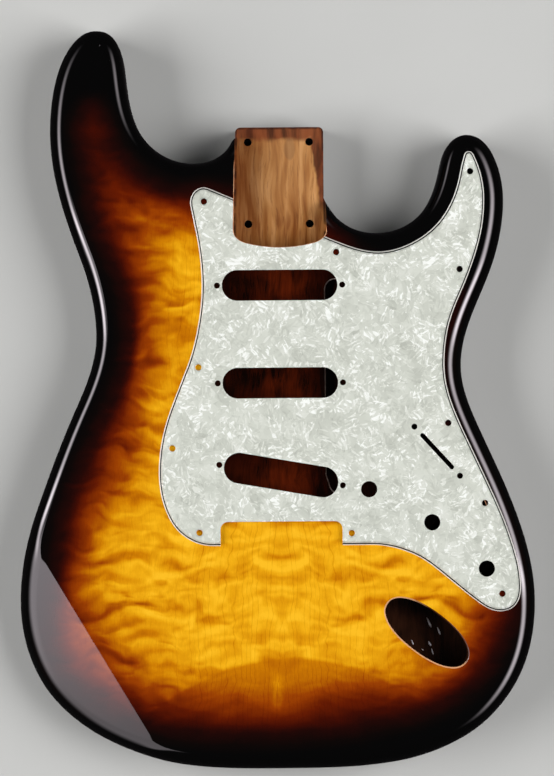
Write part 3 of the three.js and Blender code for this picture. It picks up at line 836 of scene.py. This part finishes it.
def burst_tone(points):
    """The sunburst's tone at each place on the face, from 0 in the black to nearly 1 in the amber."""
    levels, lines = zip(*BURST_LINES)
    depths = [depth_inside(points, closed_curve(knots)) for knots in lines]
    tone = levels[0] * np.clip(1 + depths[0] / BLACK_FADE, 0, 1)
    for low, high in ((0, 1), (1, 2)):
        share = depths[low] / np.maximum(depths[low] - depths[high], TINY)
        tone = np.where(depths[low] > 0, levels[low] + (levels[high] - levels[low]) * share, tone)
    full = levels[2] + (DEEPEST_TONE - levels[2]) * np.clip(depths[2] / AMBER_FADE, 0, 1)
    tone = np.where(depths[2] > 0, full, tone)
    beyond = beyond_crease(points)
    dip = np.where(beyond > -CREASE_SLACK, np.clip(1 - beyond / CREASE_DIP_REACH, 0, 1), 0)
    return tone - CREASE_DIP * dip ** CREASE_DIP_POWER * np.clip(tone / CREASE_DIP_TONE, 0, 1)


def arch_depth(points):
    """How far each place lies below the edge of the darker arch."""
    x, y = points.T
    return ARCH_TOP[1] - (x - ARCH_TOP[0]) ** 2 / ARCH_FALL - y


def back_tone(points, line):
    start, end = BACK_FADE
    return eased((depth_inside(points, line) - start) / (end - start)) * DEEPEST_TONE


def paint_wood(piece, line, is_leaf):
    """Writes what the finish reads at each point, then the true normals."""
    flat = points_of(piece.data)[:, :2]
    write_attribute(piece.data, "tone", burst_tone(flat) if is_leaf else back_tone(flat, line))
    if is_leaf:
        write_attribute(piece.data, "arch", arch_depth(flat))
    blank_normals(piece, line)


def wood(finishes):
    line = outline(OUTLINE_SHARES)
    shaped = blank(line, finishes["lacquer"])
    heel = heel_block(finishes["lacquer"])
    combine(shaped, [heel], "UNION")
    cutters = wood_cutters(finishes)
    combine(shaped, cutters, "DIFFERENCE")
    discard(heel, *cutters)

    raw = finishes["raw"]
    flat_glue = half_space("flat_glue", face_level(BODY_THICKNESS - LEAF_THICKNESS), raw)
    bent_glue = half_space("bent_glue", lambda p: forearm_face(p) - LEAF_THICKNESS, raw)
    leaf_space = combine(flat_glue, [bent_glue], "UNION")
    side = rectangle((-FAR, -FAR), (0, FAR))
    bass_side = prism("bass_side", side, -FAR, FAR, raw)
    neck, middle, bridge = PICKUP_SHARES
    upper, lower = island_space(middle, neck, raw), island_space(bridge, middle, raw)
    core = combine(copy_of(shaped), [leaf_space], "DIFFERENCE")
    leaves = combine(copy_of(shaped), [leaf_space], "INTERSECT")
    treble_leaf = combine(copy_of(leaves), [bass_side], "DIFFERENCE")
    for node, source, others, operation in (
        ("core_bass_half", core, [bass_side], "INTERSECT"),
        ("core_treble_half", core, [bass_side], "DIFFERENCE"),
        ("top_bass_leaf", leaves, [bass_side], "INTERSECT"),
        ("top_treble_leaf", treble_leaf, [upper, lower], "DIFFERENCE"),
        ("top_treble_upper_island", treble_leaf, [upper], "INTERSECT"),
        ("top_treble_lower_island", treble_leaf, [lower], "INTERSECT"),
    ):
        piece = combine(copy_of(source), others, operation)
        is_leaf = node.startswith("top")
        if is_leaf:
            for slot in piece.material_slots:
                if slot.material == finishes["lacquer"]:
                    piece.data.materials[slot.slot_index] = finishes["maple"]
        paint_wood(piece, line, is_leaf)
        piece.name = piece.data.name = "fine_" + node
        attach(piece, "body")
        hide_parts(node)
    discard(shaped, bent_glue, leaf_space, bass_side, upper, lower, core, leaves, treble_leaf)


def ball(sides, rows):
    """The points of a ball of radius 1, from its top down, and its faces."""
    turn = np.arange(sides) / sides * 2 * math.pi
    points = [(0, 0, 1)]
    for slope in np.arange(1, rows) / rows * math.pi:
        radius, height = math.sin(slope), math.cos(slope)
        points += [(radius * math.cos(angle), radius * math.sin(angle), height) for angle in turn]
    points.append((0, 0, -1))
    lowest = (rows - 2) * sides
    faces = []
    for i in range(sides):
        a, b = 1 + i, 1 + (i + 1) % sides
        faces += [(0, a, b), (len(points) - 1, b + lowest, a + lowest)]
        faces += [(a + k, a + k + sides, b + k + sides, b + k) for k in range(0, lowest, sides)]
    return np.array(points), faces


def lacquer_runs(material):
    """Drops of lacquer that ran and set on the floor of the jack recess, coloured near white as a painted
    highlight.
    """
    points, faces = ball(*RUN_SIDES)
    along, across, up = points.T[:, :, None]
    across = across * (1 - RUN_TAPER + RUN_TAPER * along)
    drops, shapes = [], []
    for x, y, heading, length, width in JACK_RUNS:
        way = direction(heading)
        aside = np.array([-way[1], way[0]])
        flat = np.array([x, y]) + way * along * length / 2 + aside * across * width / 2
        shapes += [tuple(v + len(points) * len(drops) for v in face) for face in faces]
        drops.append(np.hstack([flat, JACK_FLOOR + up * width / 2]))
    piece = mesh_object("jack_lacquer_runs", np.vstack(drops), shapes, [material], [0] * len(shapes))
    smooth(piece)
    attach(piece, "body")


# Shapes of the pickguard

def screw_pair(spacing, shares):
    return turned([(-spacing / 2, 0), (spacing / 2, 0)], shares)


def guard_cutters(material):
    low, high = BODY_THICKNESS - OVERRUN, GUARD_TOP + OVERRUN
    top = place(NOTCH_TOP_SHARES)
    notch = rounded_polygon(
        rectangle((top[0] - NOTCH_WIDTH / 2, -HALF_LENGTH), (top[0] + NOTCH_WIDTH / 2, top[1])),
        NOTCH_CORNER_RADIUS)
    lines = [pocket_line(NECK_CUT_CLEARANCE), notch, slot_line(SWITCH_SLOT, SWITCH_SHARES)]
    lines += [slot_line(PICKUP_SLOT, shares) for shares in PICKUP_SHARES]
    small = [p for shares in PICKUP_SHARES for p in screw_pair(PICKUP_SCREW_SPACING, shares)]
    small += list(screw_pair(SWITCH_SCREW_SPACING, SWITCH_SHARES))
    holes = [
        (p, size) for places, size in (
            (small, SMALL_HOLE), (place(POT_SHARES), POT_HOLE), (place(MOUNT_HOLE_SHARES), MOUNT_HOLE))
        for p in places
    ]
    lines += [circle(at, size) for at, size in holes]
    return [prism("guard_cut", line, low, high, material) for line in lines]


def countersinks(material):
    depth = (COUNTERSINK_HEAD - MOUNT_HOLE) / 2
    levels = (depth * 2, GUARD_TOP - depth * 2), (-OVERRUN, GUARD_TOP + OVERRUN)
    return [stack("cone", circle(at, COUNTERSINK_HEAD), levels, material) for at in place(MOUNT_HOLE_SHARES)]


def guard(finishes):
    line = outline(GUARD_SHARES)
    low = BODY_THICKNESS
    for i, name in enumerate(("white_ply", "black_ply", "pearl_ply")):
        high = low + PLIES[i]
        material = finishes[name]
        levels = (PLY_EDGES[i], low), (PLY_EDGES[i + 1], high)
        piece = stack("fine_pickguard_" + name, line, levels, material)
        cutters = guard_cutters(material)
        if name == "pearl_ply":
            cutters += countersinks(material)
        combine(piece, cutters, "DIFFERENCE")
        discard(*cutters)
        smooth(piece)
        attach(piece, "pickguard")
        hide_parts("pickguard_" + name)
        low = high


# Finishes

def linear(displayed):
    """A displayed colour, of 255, as the light that it stands for."""
    shares = [value / 255 for value in displayed]
    return tuple(s / 12.92 if s <= 0.04045 else ((s + 0.055) / 1.055) ** 2.4 for s in shares)


class Term:
    """A node's output, for sums and products written as usual. A colour counts as a vector."""

    def __init__(self, graph, socket):
        self.graph = graph
        self.socket = socket

    def operator(operation, *order):
        """Math on the term (0) and the other value (1), in the order that is given."""
        return lambda *terms: terms[0].graph.math(operation, *(terms[i] for i in order))

    __add__ = operator("ADD", 0, 1)
    __sub__ = operator("SUBTRACT", 0, 1)
    __rsub__ = operator("SUBTRACT", 1, 0)
    __mul__ = operator("MULTIPLY", 0, 1)
    __truediv__ = operator("DIVIDE", 0, 1)
    __abs__ = operator("ABSOLUTE", 0)


class Graph:
    """A node tree with short ways to add and link nodes."""

    def __init__(self, tree):
        self.nodes = tree.nodes
        self.links = tree.links

    def feed(self, socket, value):
        if isinstance(value, Term):
            self.links.new(value.socket, socket)
        else:
            socket.default_value = value

    def add(self, kind, output, settings=None, **inputs):
        """A new node's output, once the node is set and fed."""
        node = self.nodes.new("ShaderNode" + kind)
        for name, value in (settings or {}).items():
            setattr(node, name, value)
        for name, value in inputs.items():
            self.feed(node.inputs[name.replace("_", " ")], value)
        return Term(self, node.outputs[output])

    def math(self, operation, *values, clamp=False):
        """Number or vector math, as the values are. A number among vectors stands for all three axes."""
        vectors = any(isinstance(value, Term) and value.socket.type != "VALUE" for value in values)
        node = self.nodes.new("ShaderNodeVectorMath" if vectors else "ShaderNodeMath")
        node.operation = operation
        if clamp:
            node.use_clamp = True
        for socket, value in zip(node.inputs, values):
            if vectors and isinstance(value, (int, float)):
                value = (value,) * 3
            self.feed(socket, value)
        return Term(self, node.outputs[0])

    def split(self, vector):
        first = self.add("SeparateXYZ", 0, Vector=vector)
        return [Term(self, socket) for socket in first.socket.node.outputs]

    def join(self, x, y=0.0):
        return self.add("CombineXYZ", 0, X=x, Y=y)

    def step(self, value, low, high):
        """From 0 to 1, smoothly, as the value goes from low to high."""
        settings = {"interpolation_type": "SMOOTHSTEP"}
        return self.add("MapRange", "Result", settings, Value=value, From_Min=low, From_Max=high)

    def window(self, value, edges):
        """From 0 to 1 between the first two edges, and back to 0 between the last two."""
        start, full, ebb, end = edges
        return self.step(value, start, full) * self.step(value, end, ebb)

    def ramp(self, value, stops):
        colour = self.add("ValToRGB", "Color", Fac=value)
        elements = colour.socket.node.color_ramp.elements
        elements.remove(elements[-1])
        for i, (at, displayed) in enumerate(stops):
            element = elements[0] if i == 0 else elements.new(at)
            element.position = at
            element.color = (*linear(displayed), 1)
        return colour

    def mix(self, share, first, second):
        """A share of the way from one colour to another. Three numbers are a displayed colour."""
        node = self.nodes.new("ShaderNodeMix")
        node.data_type = "RGBA"
        self.feed(node.inputs["Factor"], share)
        sockets = [s for s in node.inputs if s.type == "RGBA"]
        for socket, value in zip(sockets, (first, second)):
            if isinstance(value, tuple) and len(value) == 3:
                value = (*linear(value), 1)
            self.feed(socket, value)
        return Term(self, [s for s in node.outputs if s.type == "RGBA"][0])

    def attribute(self, name):
        return self.add("Attribute", "Fac", {"attribute_name": name})

    def bump(self, height, distance, strength=1):
        return self.add("Bump", "Normal", Height=height, Distance=distance * MM, Strength=strength)


class Finish(Graph):
    """A node material."""

    def __init__(self, name):
        self.material = bpy.data.materials.new(name)
        self.material.use_nodes = True
        super().__init__(self.material.node_tree)
        self.nodes.clear()
        output = self.nodes.new("ShaderNodeOutputMaterial")
        self.shader = self.nodes.new("ShaderNodeBsdfPrincipled")
        self.links.new(self.shader.outputs["BSDF"], output.inputs["Surface"])
        self.place = self.add("TexCoord", "Object") * (1 / MM)

    def noise(self, size, at=None, detail=2, roughness=0.5, colour=False):
        """Noise whose features are size millimetres across, one number or one for each axis."""
        return self.add(
            "TexNoise", "Color" if colour else "Fac", Vector=(at or self.place) / size, Scale=1,
            Detail=detail, Roughness=roughness)

    def sway(self, size, reach, at=None, **look):
        """Noise about zero, times a reach."""
        return (self.noise(size, at, **look) - 0.5) * reach

    def set(self, **values):
        for name, value in values.items():
            self.feed(self.shader.inputs[name.replace("_", " ")], value)
        return self.material

    def polished(self, colour, peel=0.006, weight=1, roughness=0.03):
        """Gloss lacquer over a colour, with the slight waviness of a sprayed and buffed coat."""
        waves = self.noise(2.6, detail=1)
        haze = self.noise(40, detail=3)
        return self.set(
            Base_Color=colour, Roughness=haze * 0.12 + 0.3, Specular_IOR_Level=0, Coat_Weight=weight,
            Coat_Roughness=roughness, Coat_IOR=1.5, Coat_Normal=self.bump(waves, peel))


def growth_lines(finish, leaf, spacing):
    """Thin lines along the grain, some stronger than others, wavering as they cross the figure."""
    across, height, _ = finish.split(leaf)
    near = finish.join(across, height)
    waver = finish.sway((26, 10, 1), 4.6, near, detail=1.5)
    sweep = finish.sway((90, 150, 1), 34, near, detail=1)
    crowd = finish.sway((16, 1, 1), spacing * 3.2, finish.join(across), detail=1)
    at = ((across + waver) + (sweep + crowd)) / spacing
    own = finish.add("TexWhiteNoise", "Value", {"noise_dimensions": "1D"}, W=finish.math("FLOOR", at))
    return finish.step(finish.math("PINGPONG", at, 0.5), 0.39, 0.5) * (own * 0.8 + 0.2)


def folds(finish, waved, period, patch, wander):
    """Curl across the grain: dark bands with crisp lower edges that fade upward, in patches."""
    height = finish.split(waved)[1]
    bow = finish.sway((period * 3.2, period * 2.1, 9), wander, waved, detail=0.5)
    phase = finish.math("FRACT", (height + bow) / period)
    patches = finish.step(finish.noise(patch, waved, detail=1), 0.43, 0.64)
    return finish.window(phase, (0, 0.26, 0.3, 0.95)) * patches


def quilted_maple():
    """Curled figure, the same on both sides of the seam but for a stray, under the sunburst."""
    finish = Finish("quilted_maple_burst")
    x, y, _ = finish.split(finish.place)
    aside = abs(x)
    leaf = finish.join(aside, y) + finish.sway(55, 9, detail=1, colour=True)
    waved = leaf + finish.sway(21, 17, leaf, detail=0.8, colour=True)

    outward = finish.step(aside, 34, 84)
    broad = folds(finish, waved, period=17, patch=(34, 15, 9), wander=30) * (outward * 0.05 + 0.14)
    small = folds(finish, waved, period=8.5, patch=(15, 9, 9), wander=13) * (outward * 0.055 + 0.045)
    clouds = finish.sway((17, 8.5, 9), 0.42, waved, detail=1.5)
    arch = finish.step(finish.attribute("arch"), -1.2, 2.2)
    figure = (broad + small + clouds) * (arch * -0.7 + 1)
    lines = growth_lines(finish, leaf, spacing=3.3) * ((1 - outward * 0.75) * 0.085 + 0.015)
    fibres = finish.sway((0.5, 7, 1), 0.09, leaf)
    grit = finish.sway((1.1, 1.6, 1), 0.05, detail=1)
    streak = finish.step(abs(x - SEAM_STREAK_X), 5, 1) * finish.window(y, SEAM_STREAK_REACH)
    streak = streak * finish.noise((2, 7, 5))
    shade = (figure + lines) + (fibres + grit) + arch * 0.15 - streak * 0.22

    tone = finish.attribute("tone")
    drift = finish.noise((20, 9, 9), waved) - 0.5
    tone = tone + tone * (1 - tone) * (drift + 0.15)
    tone = finish.math("MULTIPLY", tone, MAPLE_BRIGHTNESS - shade, clamp=True)
    return finish.polished(finish.ramp(tone, BURST_TONES))


def lacquered_core():
    """The sides and back: plain straight-grained wood under the same fade."""
    finish = Finish("core_burst")
    x = finish.split(finish.place)[0]
    warp = finish.sway((60, 140, 60), 30)
    rings = finish.math("PINGPONG", (x + warp) / GROWTH_RING, 0.5)
    pores = finish.step(finish.noise((0.7, 16, 0.7)), 0.56, 0.72)
    shade = finish.step(rings, 0.1, 0.5) * 0.06 + pores * 0.07
    tone = finish.math("MULTIPLY", finish.attribute("tone"), 1 - shade, clamp=True)
    return finish.polished(finish.ramp(tone, BURST_TONES))


def cavity_lacquer(name, dark, light):
    """Thin dark lacquer sprayed on routed wood, lit by painted light in the middle of the body and darkened
    by painted shade towards its sides.
    """
    finish = Finish(name)
    grain = finish.place + finish.sway((18, 30, 18), 9, detail=1, colour=True)
    streaks = finish.noise((3.2, 26, 3.2), grain, detail=3)
    clouds = finish.noise(22)
    share = streaks * 0.45 + clouds * 0.75 + finish.sway((0.7, 8, 0.7), 0.25, grain)
    # Painted light and shade: lighter towards the middle of the body, darker towards its sides and in the
    # jack recess.
    painted_light_share = finish.window(finish.split(finish.place)[0], PAINTED_CAVITY_LIGHT) * 0.8 + 0.2
    share = finish.step(share, 0.36, 0.86) * painted_light_share
    return finish.polished(finish.mix(share, dark, light), peel=0.02, weight=0.6, roughness=0.1)


def painted_highlight_run():
    finish = Finish("lacquer_run_painted_highlight")
    # Painted highlight: near-white tones stand for light glinting off the clear drops.
    depth = finish.noise((1.5, 4, 1.5))
    return finish.polished(finish.mix(depth, (226, 220, 228), (252, 248, 253)))


def bare_pocket():
    """Unlacquered wood, streaked along the grain, stained at the heel end and beside the walls."""
    finish = Finish("bare_pocket_wood")
    x, y, _ = finish.split(finish.place)
    grain = finish.place + finish.sway((14, 40, 14), 6, detail=1, colour=True)
    broad = finish.noise((6, 50, 30), grain, detail=2.5, roughness=0.55)
    fine = finish.noise((1.25, 15, 9), grain, detail=4, roughness=0.65)
    pale = finish.window(x, (-18, -6, 14, 26)) * finish.step(y, 104, 134)
    darker = finish.step(x + finish.sway((9, 60, 9), 22, grain, detail=1), -8, -22)
    low = finish.step(y, 124, 108) * finish.step(finish.noise((2.6, 24, 9), grain), 0.5, 0.66)

    end_x, end_y = place(HEEL_END_SHARES).tolist()
    heel_stain = finish.step(
        y + finish.sway(9, 6), *(end_y - depth for depth in HEEL_STAIN_DEPTHS))
    lean = (y - SIDE_STAIN_LOW) * SIDE_STAIN_LEAN + x
    side_stain = finish.step(lean + finish.sway(8, 4), *SIDE_STAIN) * finish.step(y, 112, 124)
    mottle = finish.step(finish.noise((5, 26, 9), grain, detail=3), 0.34, 0.64)
    stain_colour = finish.mix(mottle, (56, 20, 10), (126, 64, 34))

    half_width = (end_y - y) * POCKET_FLARE + HEEL_WIDTH / 2
    outer = finish.math("MAXIMUM", abs(x - end_x) - half_width, y - end_y)
    # Darker patches near the pocket's walls and its heel end.
    dark_edge_patches = finish.step(finish.noise(6), 0.3, 0.6) * finish.step(outer, -1.7, -0.8)
    away = (finish.place - (*POCKET_SMUDGE, 0)) / POCKET_SMUDGE_SIZE
    smudge = finish.step(finish.add("VectorMath", "Value", {"operation": "LENGTH"}, Vector=away), 1.1, 0.8)

    colour = finish.ramp(broad, POCKET_TONES)
    for share, amount, layer in (
        (finish.step(fine, 0.5, 0.68), 0.6, (100, 50, 20)),
        (pale, 0.25, (200, 148, 96)),
        (darker, 0.45, (122, 60, 22)),
        (low, 0.5, (112, 52, 20)),
        (finish.math("MAXIMUM", heel_stain, side_stain), 0.92, stain_colour),
        (dark_edge_patches, 0.8, (34, 12, 8)),
        (smudge, 0.4, (116, 84, 58)),
    ):
        colour = finish.mix(share * amount, colour, layer)
    pores = finish.noise((0.35, 5, 3))
    return finish.set(
        Base_Color=colour, Roughness=fine * 0.2 + 0.6, Specular_IOR_Level=0.12,
        Normal=finish.bump(pores, 0.08, 0.6))


def mottled(name, size, detail, dark, light, **values):
    """A plain surface whose colour drifts between two tones."""
    finish = Finish(name)
    share = finish.noise(size, detail=detail)
    return finish.set(Base_Color=finish.mix(share, dark, light), **values)


def rim_with_painted_highlight(name, dark, light):
    """The edge of a route, where the lacquer lies thin over light wood; its light tone is partly a painted
    highlight.
    """
    finish = Finish(name)
    wear_and_highlight = finish.step(finish.noise(5, detail=3), 0.35, 0.65)
    return finish.polished(finish.mix(wear_and_highlight, dark, light))


def jack_rim():
    """The recess's edge, pale where the burst around it is amber and dark towards the black; the pale peach
    is partly a painted highlight on its rounding.
    """
    finish = Finish("jack_edge")
    away = (finish.place - (*place(JACK_SHARES), 0)) * JACK_EDGE_WAY
    x, y, _ = finish.split(away)
    share = finish.step(x + y + finish.sway(5, 6, detail=3), -11, -2)
    # Painted highlight: the pale end's peach stands in part for light caught on the rounded rim.
    return finish.polished(finish.mix(share, (70, 34, 16), (240, 180, 132)))


def plain_ply(name, dark, light, gleam):
    """A cut edge of plastic, with fine marks of the cutter."""
    finish = Finish(name)
    marks = finish.noise((1.5, 1.5, 0.12))
    return finish.set(
        Base_Color=finish.mix(marks, dark, light), Roughness=marks * 0.2 + 0.28, Specular_IOR_Level=gleam,
        Normal=finish.bump(marks, 0.02))


def pearl():
    """Plastic pearl: overlapping flakes, some plain and some brushed, each in its own direction."""
    finish = Finish("white_pearl")

    def bent(shift, size, reach):
        moved = finish.place + (shift, shift * 1.7, 0)
        return moved + finish.sway(size, reach, moved, colour=True)

    def cells(vector, size):
        """Three numbers of its own for each cell."""
        return finish.split(finish.add(
            "TexVoronoi", "Color", {"voronoi_dimensions": "2D"}, Scale=1, Vector=vector / (*size, 1)))

    def flakes(size, shift, shard):
        """Each flake's tone, and the bright and dark slender shards in it, which lie its own way."""
        moved = bent(shift, size * 1.7, size * 0.6)
        way, tone, shine = cells(moved, (size, size))
        turned_place = finish.add(
            "VectorRotate", 0, {"rotation_type": "Z_AXIS"}, Vector=moved, Angle=way * math.tau)
        first, second, _ = cells(turned_place, shard)
        bright = finish.step(first, 0.62, 0.95) * finish.step(shine, 0.1, 0.8)
        return tone, bright - finish.step(second, 0.8, 0.96) * 0.3

    big_tone, big_shards = flakes(8, 0, (1.15, 4.8))
    small_tone, small_shards = flakes(4.4, 31, (0.85, 3))
    curls = finish.step(abs(finish.noise(5, bent(140, 6, 7), detail=1) - 0.5), 0.022, 0.01)
    curls = curls * finish.step(finish.noise(11, detail=1), 0.48, 0.58)
    soft = finish.sway(16, 0.5)
    body = big_tone * 0.2 + small_tone * 0.16 + big_shards * 0.38 + small_shards * 0.4
    body = body + (soft + curls * 0.25)
    fine = finish.noise(1.2)
    return finish.set(
        Base_Color=finish.ramp(body + 0.25, PEARL_TONES), Roughness=body * 0.15 + 0.2,
        Specular_IOR_Level=0.25, Coat_Weight=0.6, Coat_Roughness=0.04, Coat_IOR=1.5,
        Normal=finish.bump(fine, 0.01))


# Floor, light and camera

def stand():
    line = oval((FLOOR_SIZE, FLOOR_SIZE), 1, HOLE_SIDES * 3)
    finish = mottled(
        "pale_floor", 90, 3, (196, 196, 194), (202, 202, 200), Roughness=0.85, Specular_IOR_Level=0)
    floor = prism("floor", line, *FLOOR_SLAB, finish)
    floor.visible_glossy = False


def panel(name, at, target, size, brightness, edges=None, ebb=None):
    """A panel of light that faces a target. Without edges it gives soft light and no gloss mirrors it. With
    them only the gloss shows it: it fades along and across between them, and it may ebb along its length,
    from one place to another, by a share."""
    data = bpy.data.lights.new(name, "AREA")
    data.shape = "RECTANGLE"
    data.size, data.size_y = (side * MM for side in size)
    data.energy = brightness * math.pi * data.size * data.size_y
    if edges:
        data.use_nodes = True
        graph = Graph(data.node_tree)
        along, across, _ = graph.split(graph.add("NewGeometry", "Parametric"))
        share = graph.window(along, edges[0]) * graph.window(across, edges[1])
        share = share * share
        if ebb:
            start, end, amount = ebb
            share = share * (graph.step(along, start, end) * -amount + 1)
        graph.feed(graph.nodes["Emission"].inputs["Strength"], share)
        data.color = STRIP_TINT
    way = Vector(at) - Vector(target)
    lamp = add_object(name, data)
    lamp.location = Vector(at) * MM
    lamp.rotation_euler = way.to_track_quat("Z", "Y").to_euler()
    lamp.visible_camera = False
    lamp.visible_glossy = bool(edges)
    lamp.visible_diffuse = not edges


def studio():
    """What the lacquer mirrors around the panels: a dark room. The camera sees it plain and pale."""
    world = bpy.data.worlds.new("studio")
    world.use_nodes = True
    bpy.context.scene.world = world
    world.cycles_visibility.diffuse = False
    graph = Graph(world.node_tree)
    background = graph.nodes["Background"]
    seen = graph.add("LightPath", "Is Camera Ray")
    graph.feed(background.inputs["Color"], graph.mix(seen, (*STRIP_TINT, 1), (1, 1, 1, 1)))
    graph.feed(background.inputs["Strength"], seen * (BACKDROP_GLOW - ROOM_GLOW) + ROOM_GLOW)
    bpy.context.scene.view_settings.view_transform = "Standard"


def light():
    middle, left_edge, treble_edge = (0, 0, 0), (-140, 215, 44), (130, -60, 44)
    narrow, whole = (0, 0.45, 0.55, 1), (0, 0.5, 0.5, 1)
    panel("left_soft", (-3816, 0, 2385), middle, (3636, 3276), 5.8)
    panel("right_soft", (3237, 0, 3126), middle, (2925, 3636), 5.8)
    panel("left_strip", (-430, 215, 232), left_edge, (850, 260), 10.5, ((0, 0.753, 0.805, 1), narrow))
    panel("left_gleam", (-427, 22, 230), (-140, 22, 44), (120, 260), 10, (whole, narrow))
    panel("right_strip", (550, -60, 480), treble_edge, (1720, 560), 10.5, ((0, 0.36, 0.535, 1), narrow))
    panel("right_gleam", (545, -90, 475), (130, -90, 44), (200, 560), 10, (whole, narrow))
    panel("forearm_screen", (-503, -344, 310), (-159, -112, 30), (860, 730), 4.7,
          ((0, 0.22, 0.93, 1), (0, 0.45, 0.93, 1)), (0.42, 0.7, 0.55))
    studio()


def camera():
    data = bpy.data.cameras.new("camera")
    data.sensor_fit = "VERTICAL"
    data.angle = 2 * math.atan(FRAME_HEIGHT / 2 / CAMERA_DISTANCE)
    data.clip_end = CLIP_END * MM
    viewer = add_object("camera", data)
    viewer.location = Vector((*CAMERA_PLACE, BODY_THICKNESS + CAMERA_DISTANCE)) * MM
    viewer.rotation_euler = (0, 0, math.radians(CAMERA_TURN))
    bpy.context.scene.camera = viewer


def finishes():
    return {
        "lacquer": lacquered_core(),
        "maple": quilted_maple(),
        "cavity": cavity_lacquer("cavity_lacquer", (13, 5, 2), (104, 34, 9)),
        "jack": cavity_lacquer("jack_lacquer", (18, 12, 8), (136, 78, 50)),
        "run": painted_highlight_run(),
        # Route rims: thin lacquer over light wood, lightened further as a painted highlight on the bevel.
        "rim": rim_with_painted_highlight("thin_lacquer_edge_and_highlight", (190, 122, 84), (238, 184, 142)),
        # The channel bevel's near-white colour is a painted highlight.
        "channel_rim": rim_with_painted_highlight("channel_bevel_painted_highlight", (176, 150, 140), (236, 220, 212)),
        "jack_rim": jack_rim(),
        "pocket": bare_pocket(),
        "raw": mottled("glued_wood", (1.6, 40, 1.6), 3, (150, 100, 58), (206, 164, 112), Roughness=0.6),
        # The bolt holes' walls are near black: painted shade deep inside the holes.
        "hole": mottled("drilled_hole_painted_shade", (2, 2, 9), 2, (8, 5, 4), (34, 20, 12), Roughness=0.7),
        "white_ply": plain_ply("white_plastic", (232, 230, 222), (246, 244, 238), 0.4),
        "black_ply": plain_ply("black_plastic", (4, 4, 4), (13, 13, 12), 0.08),
        "pearl_ply": pearl(),
    }


camera()
light()
stand()
palette = finishes()
wood(palette)
lacquer_runs(palette["run"])
guard(palette)
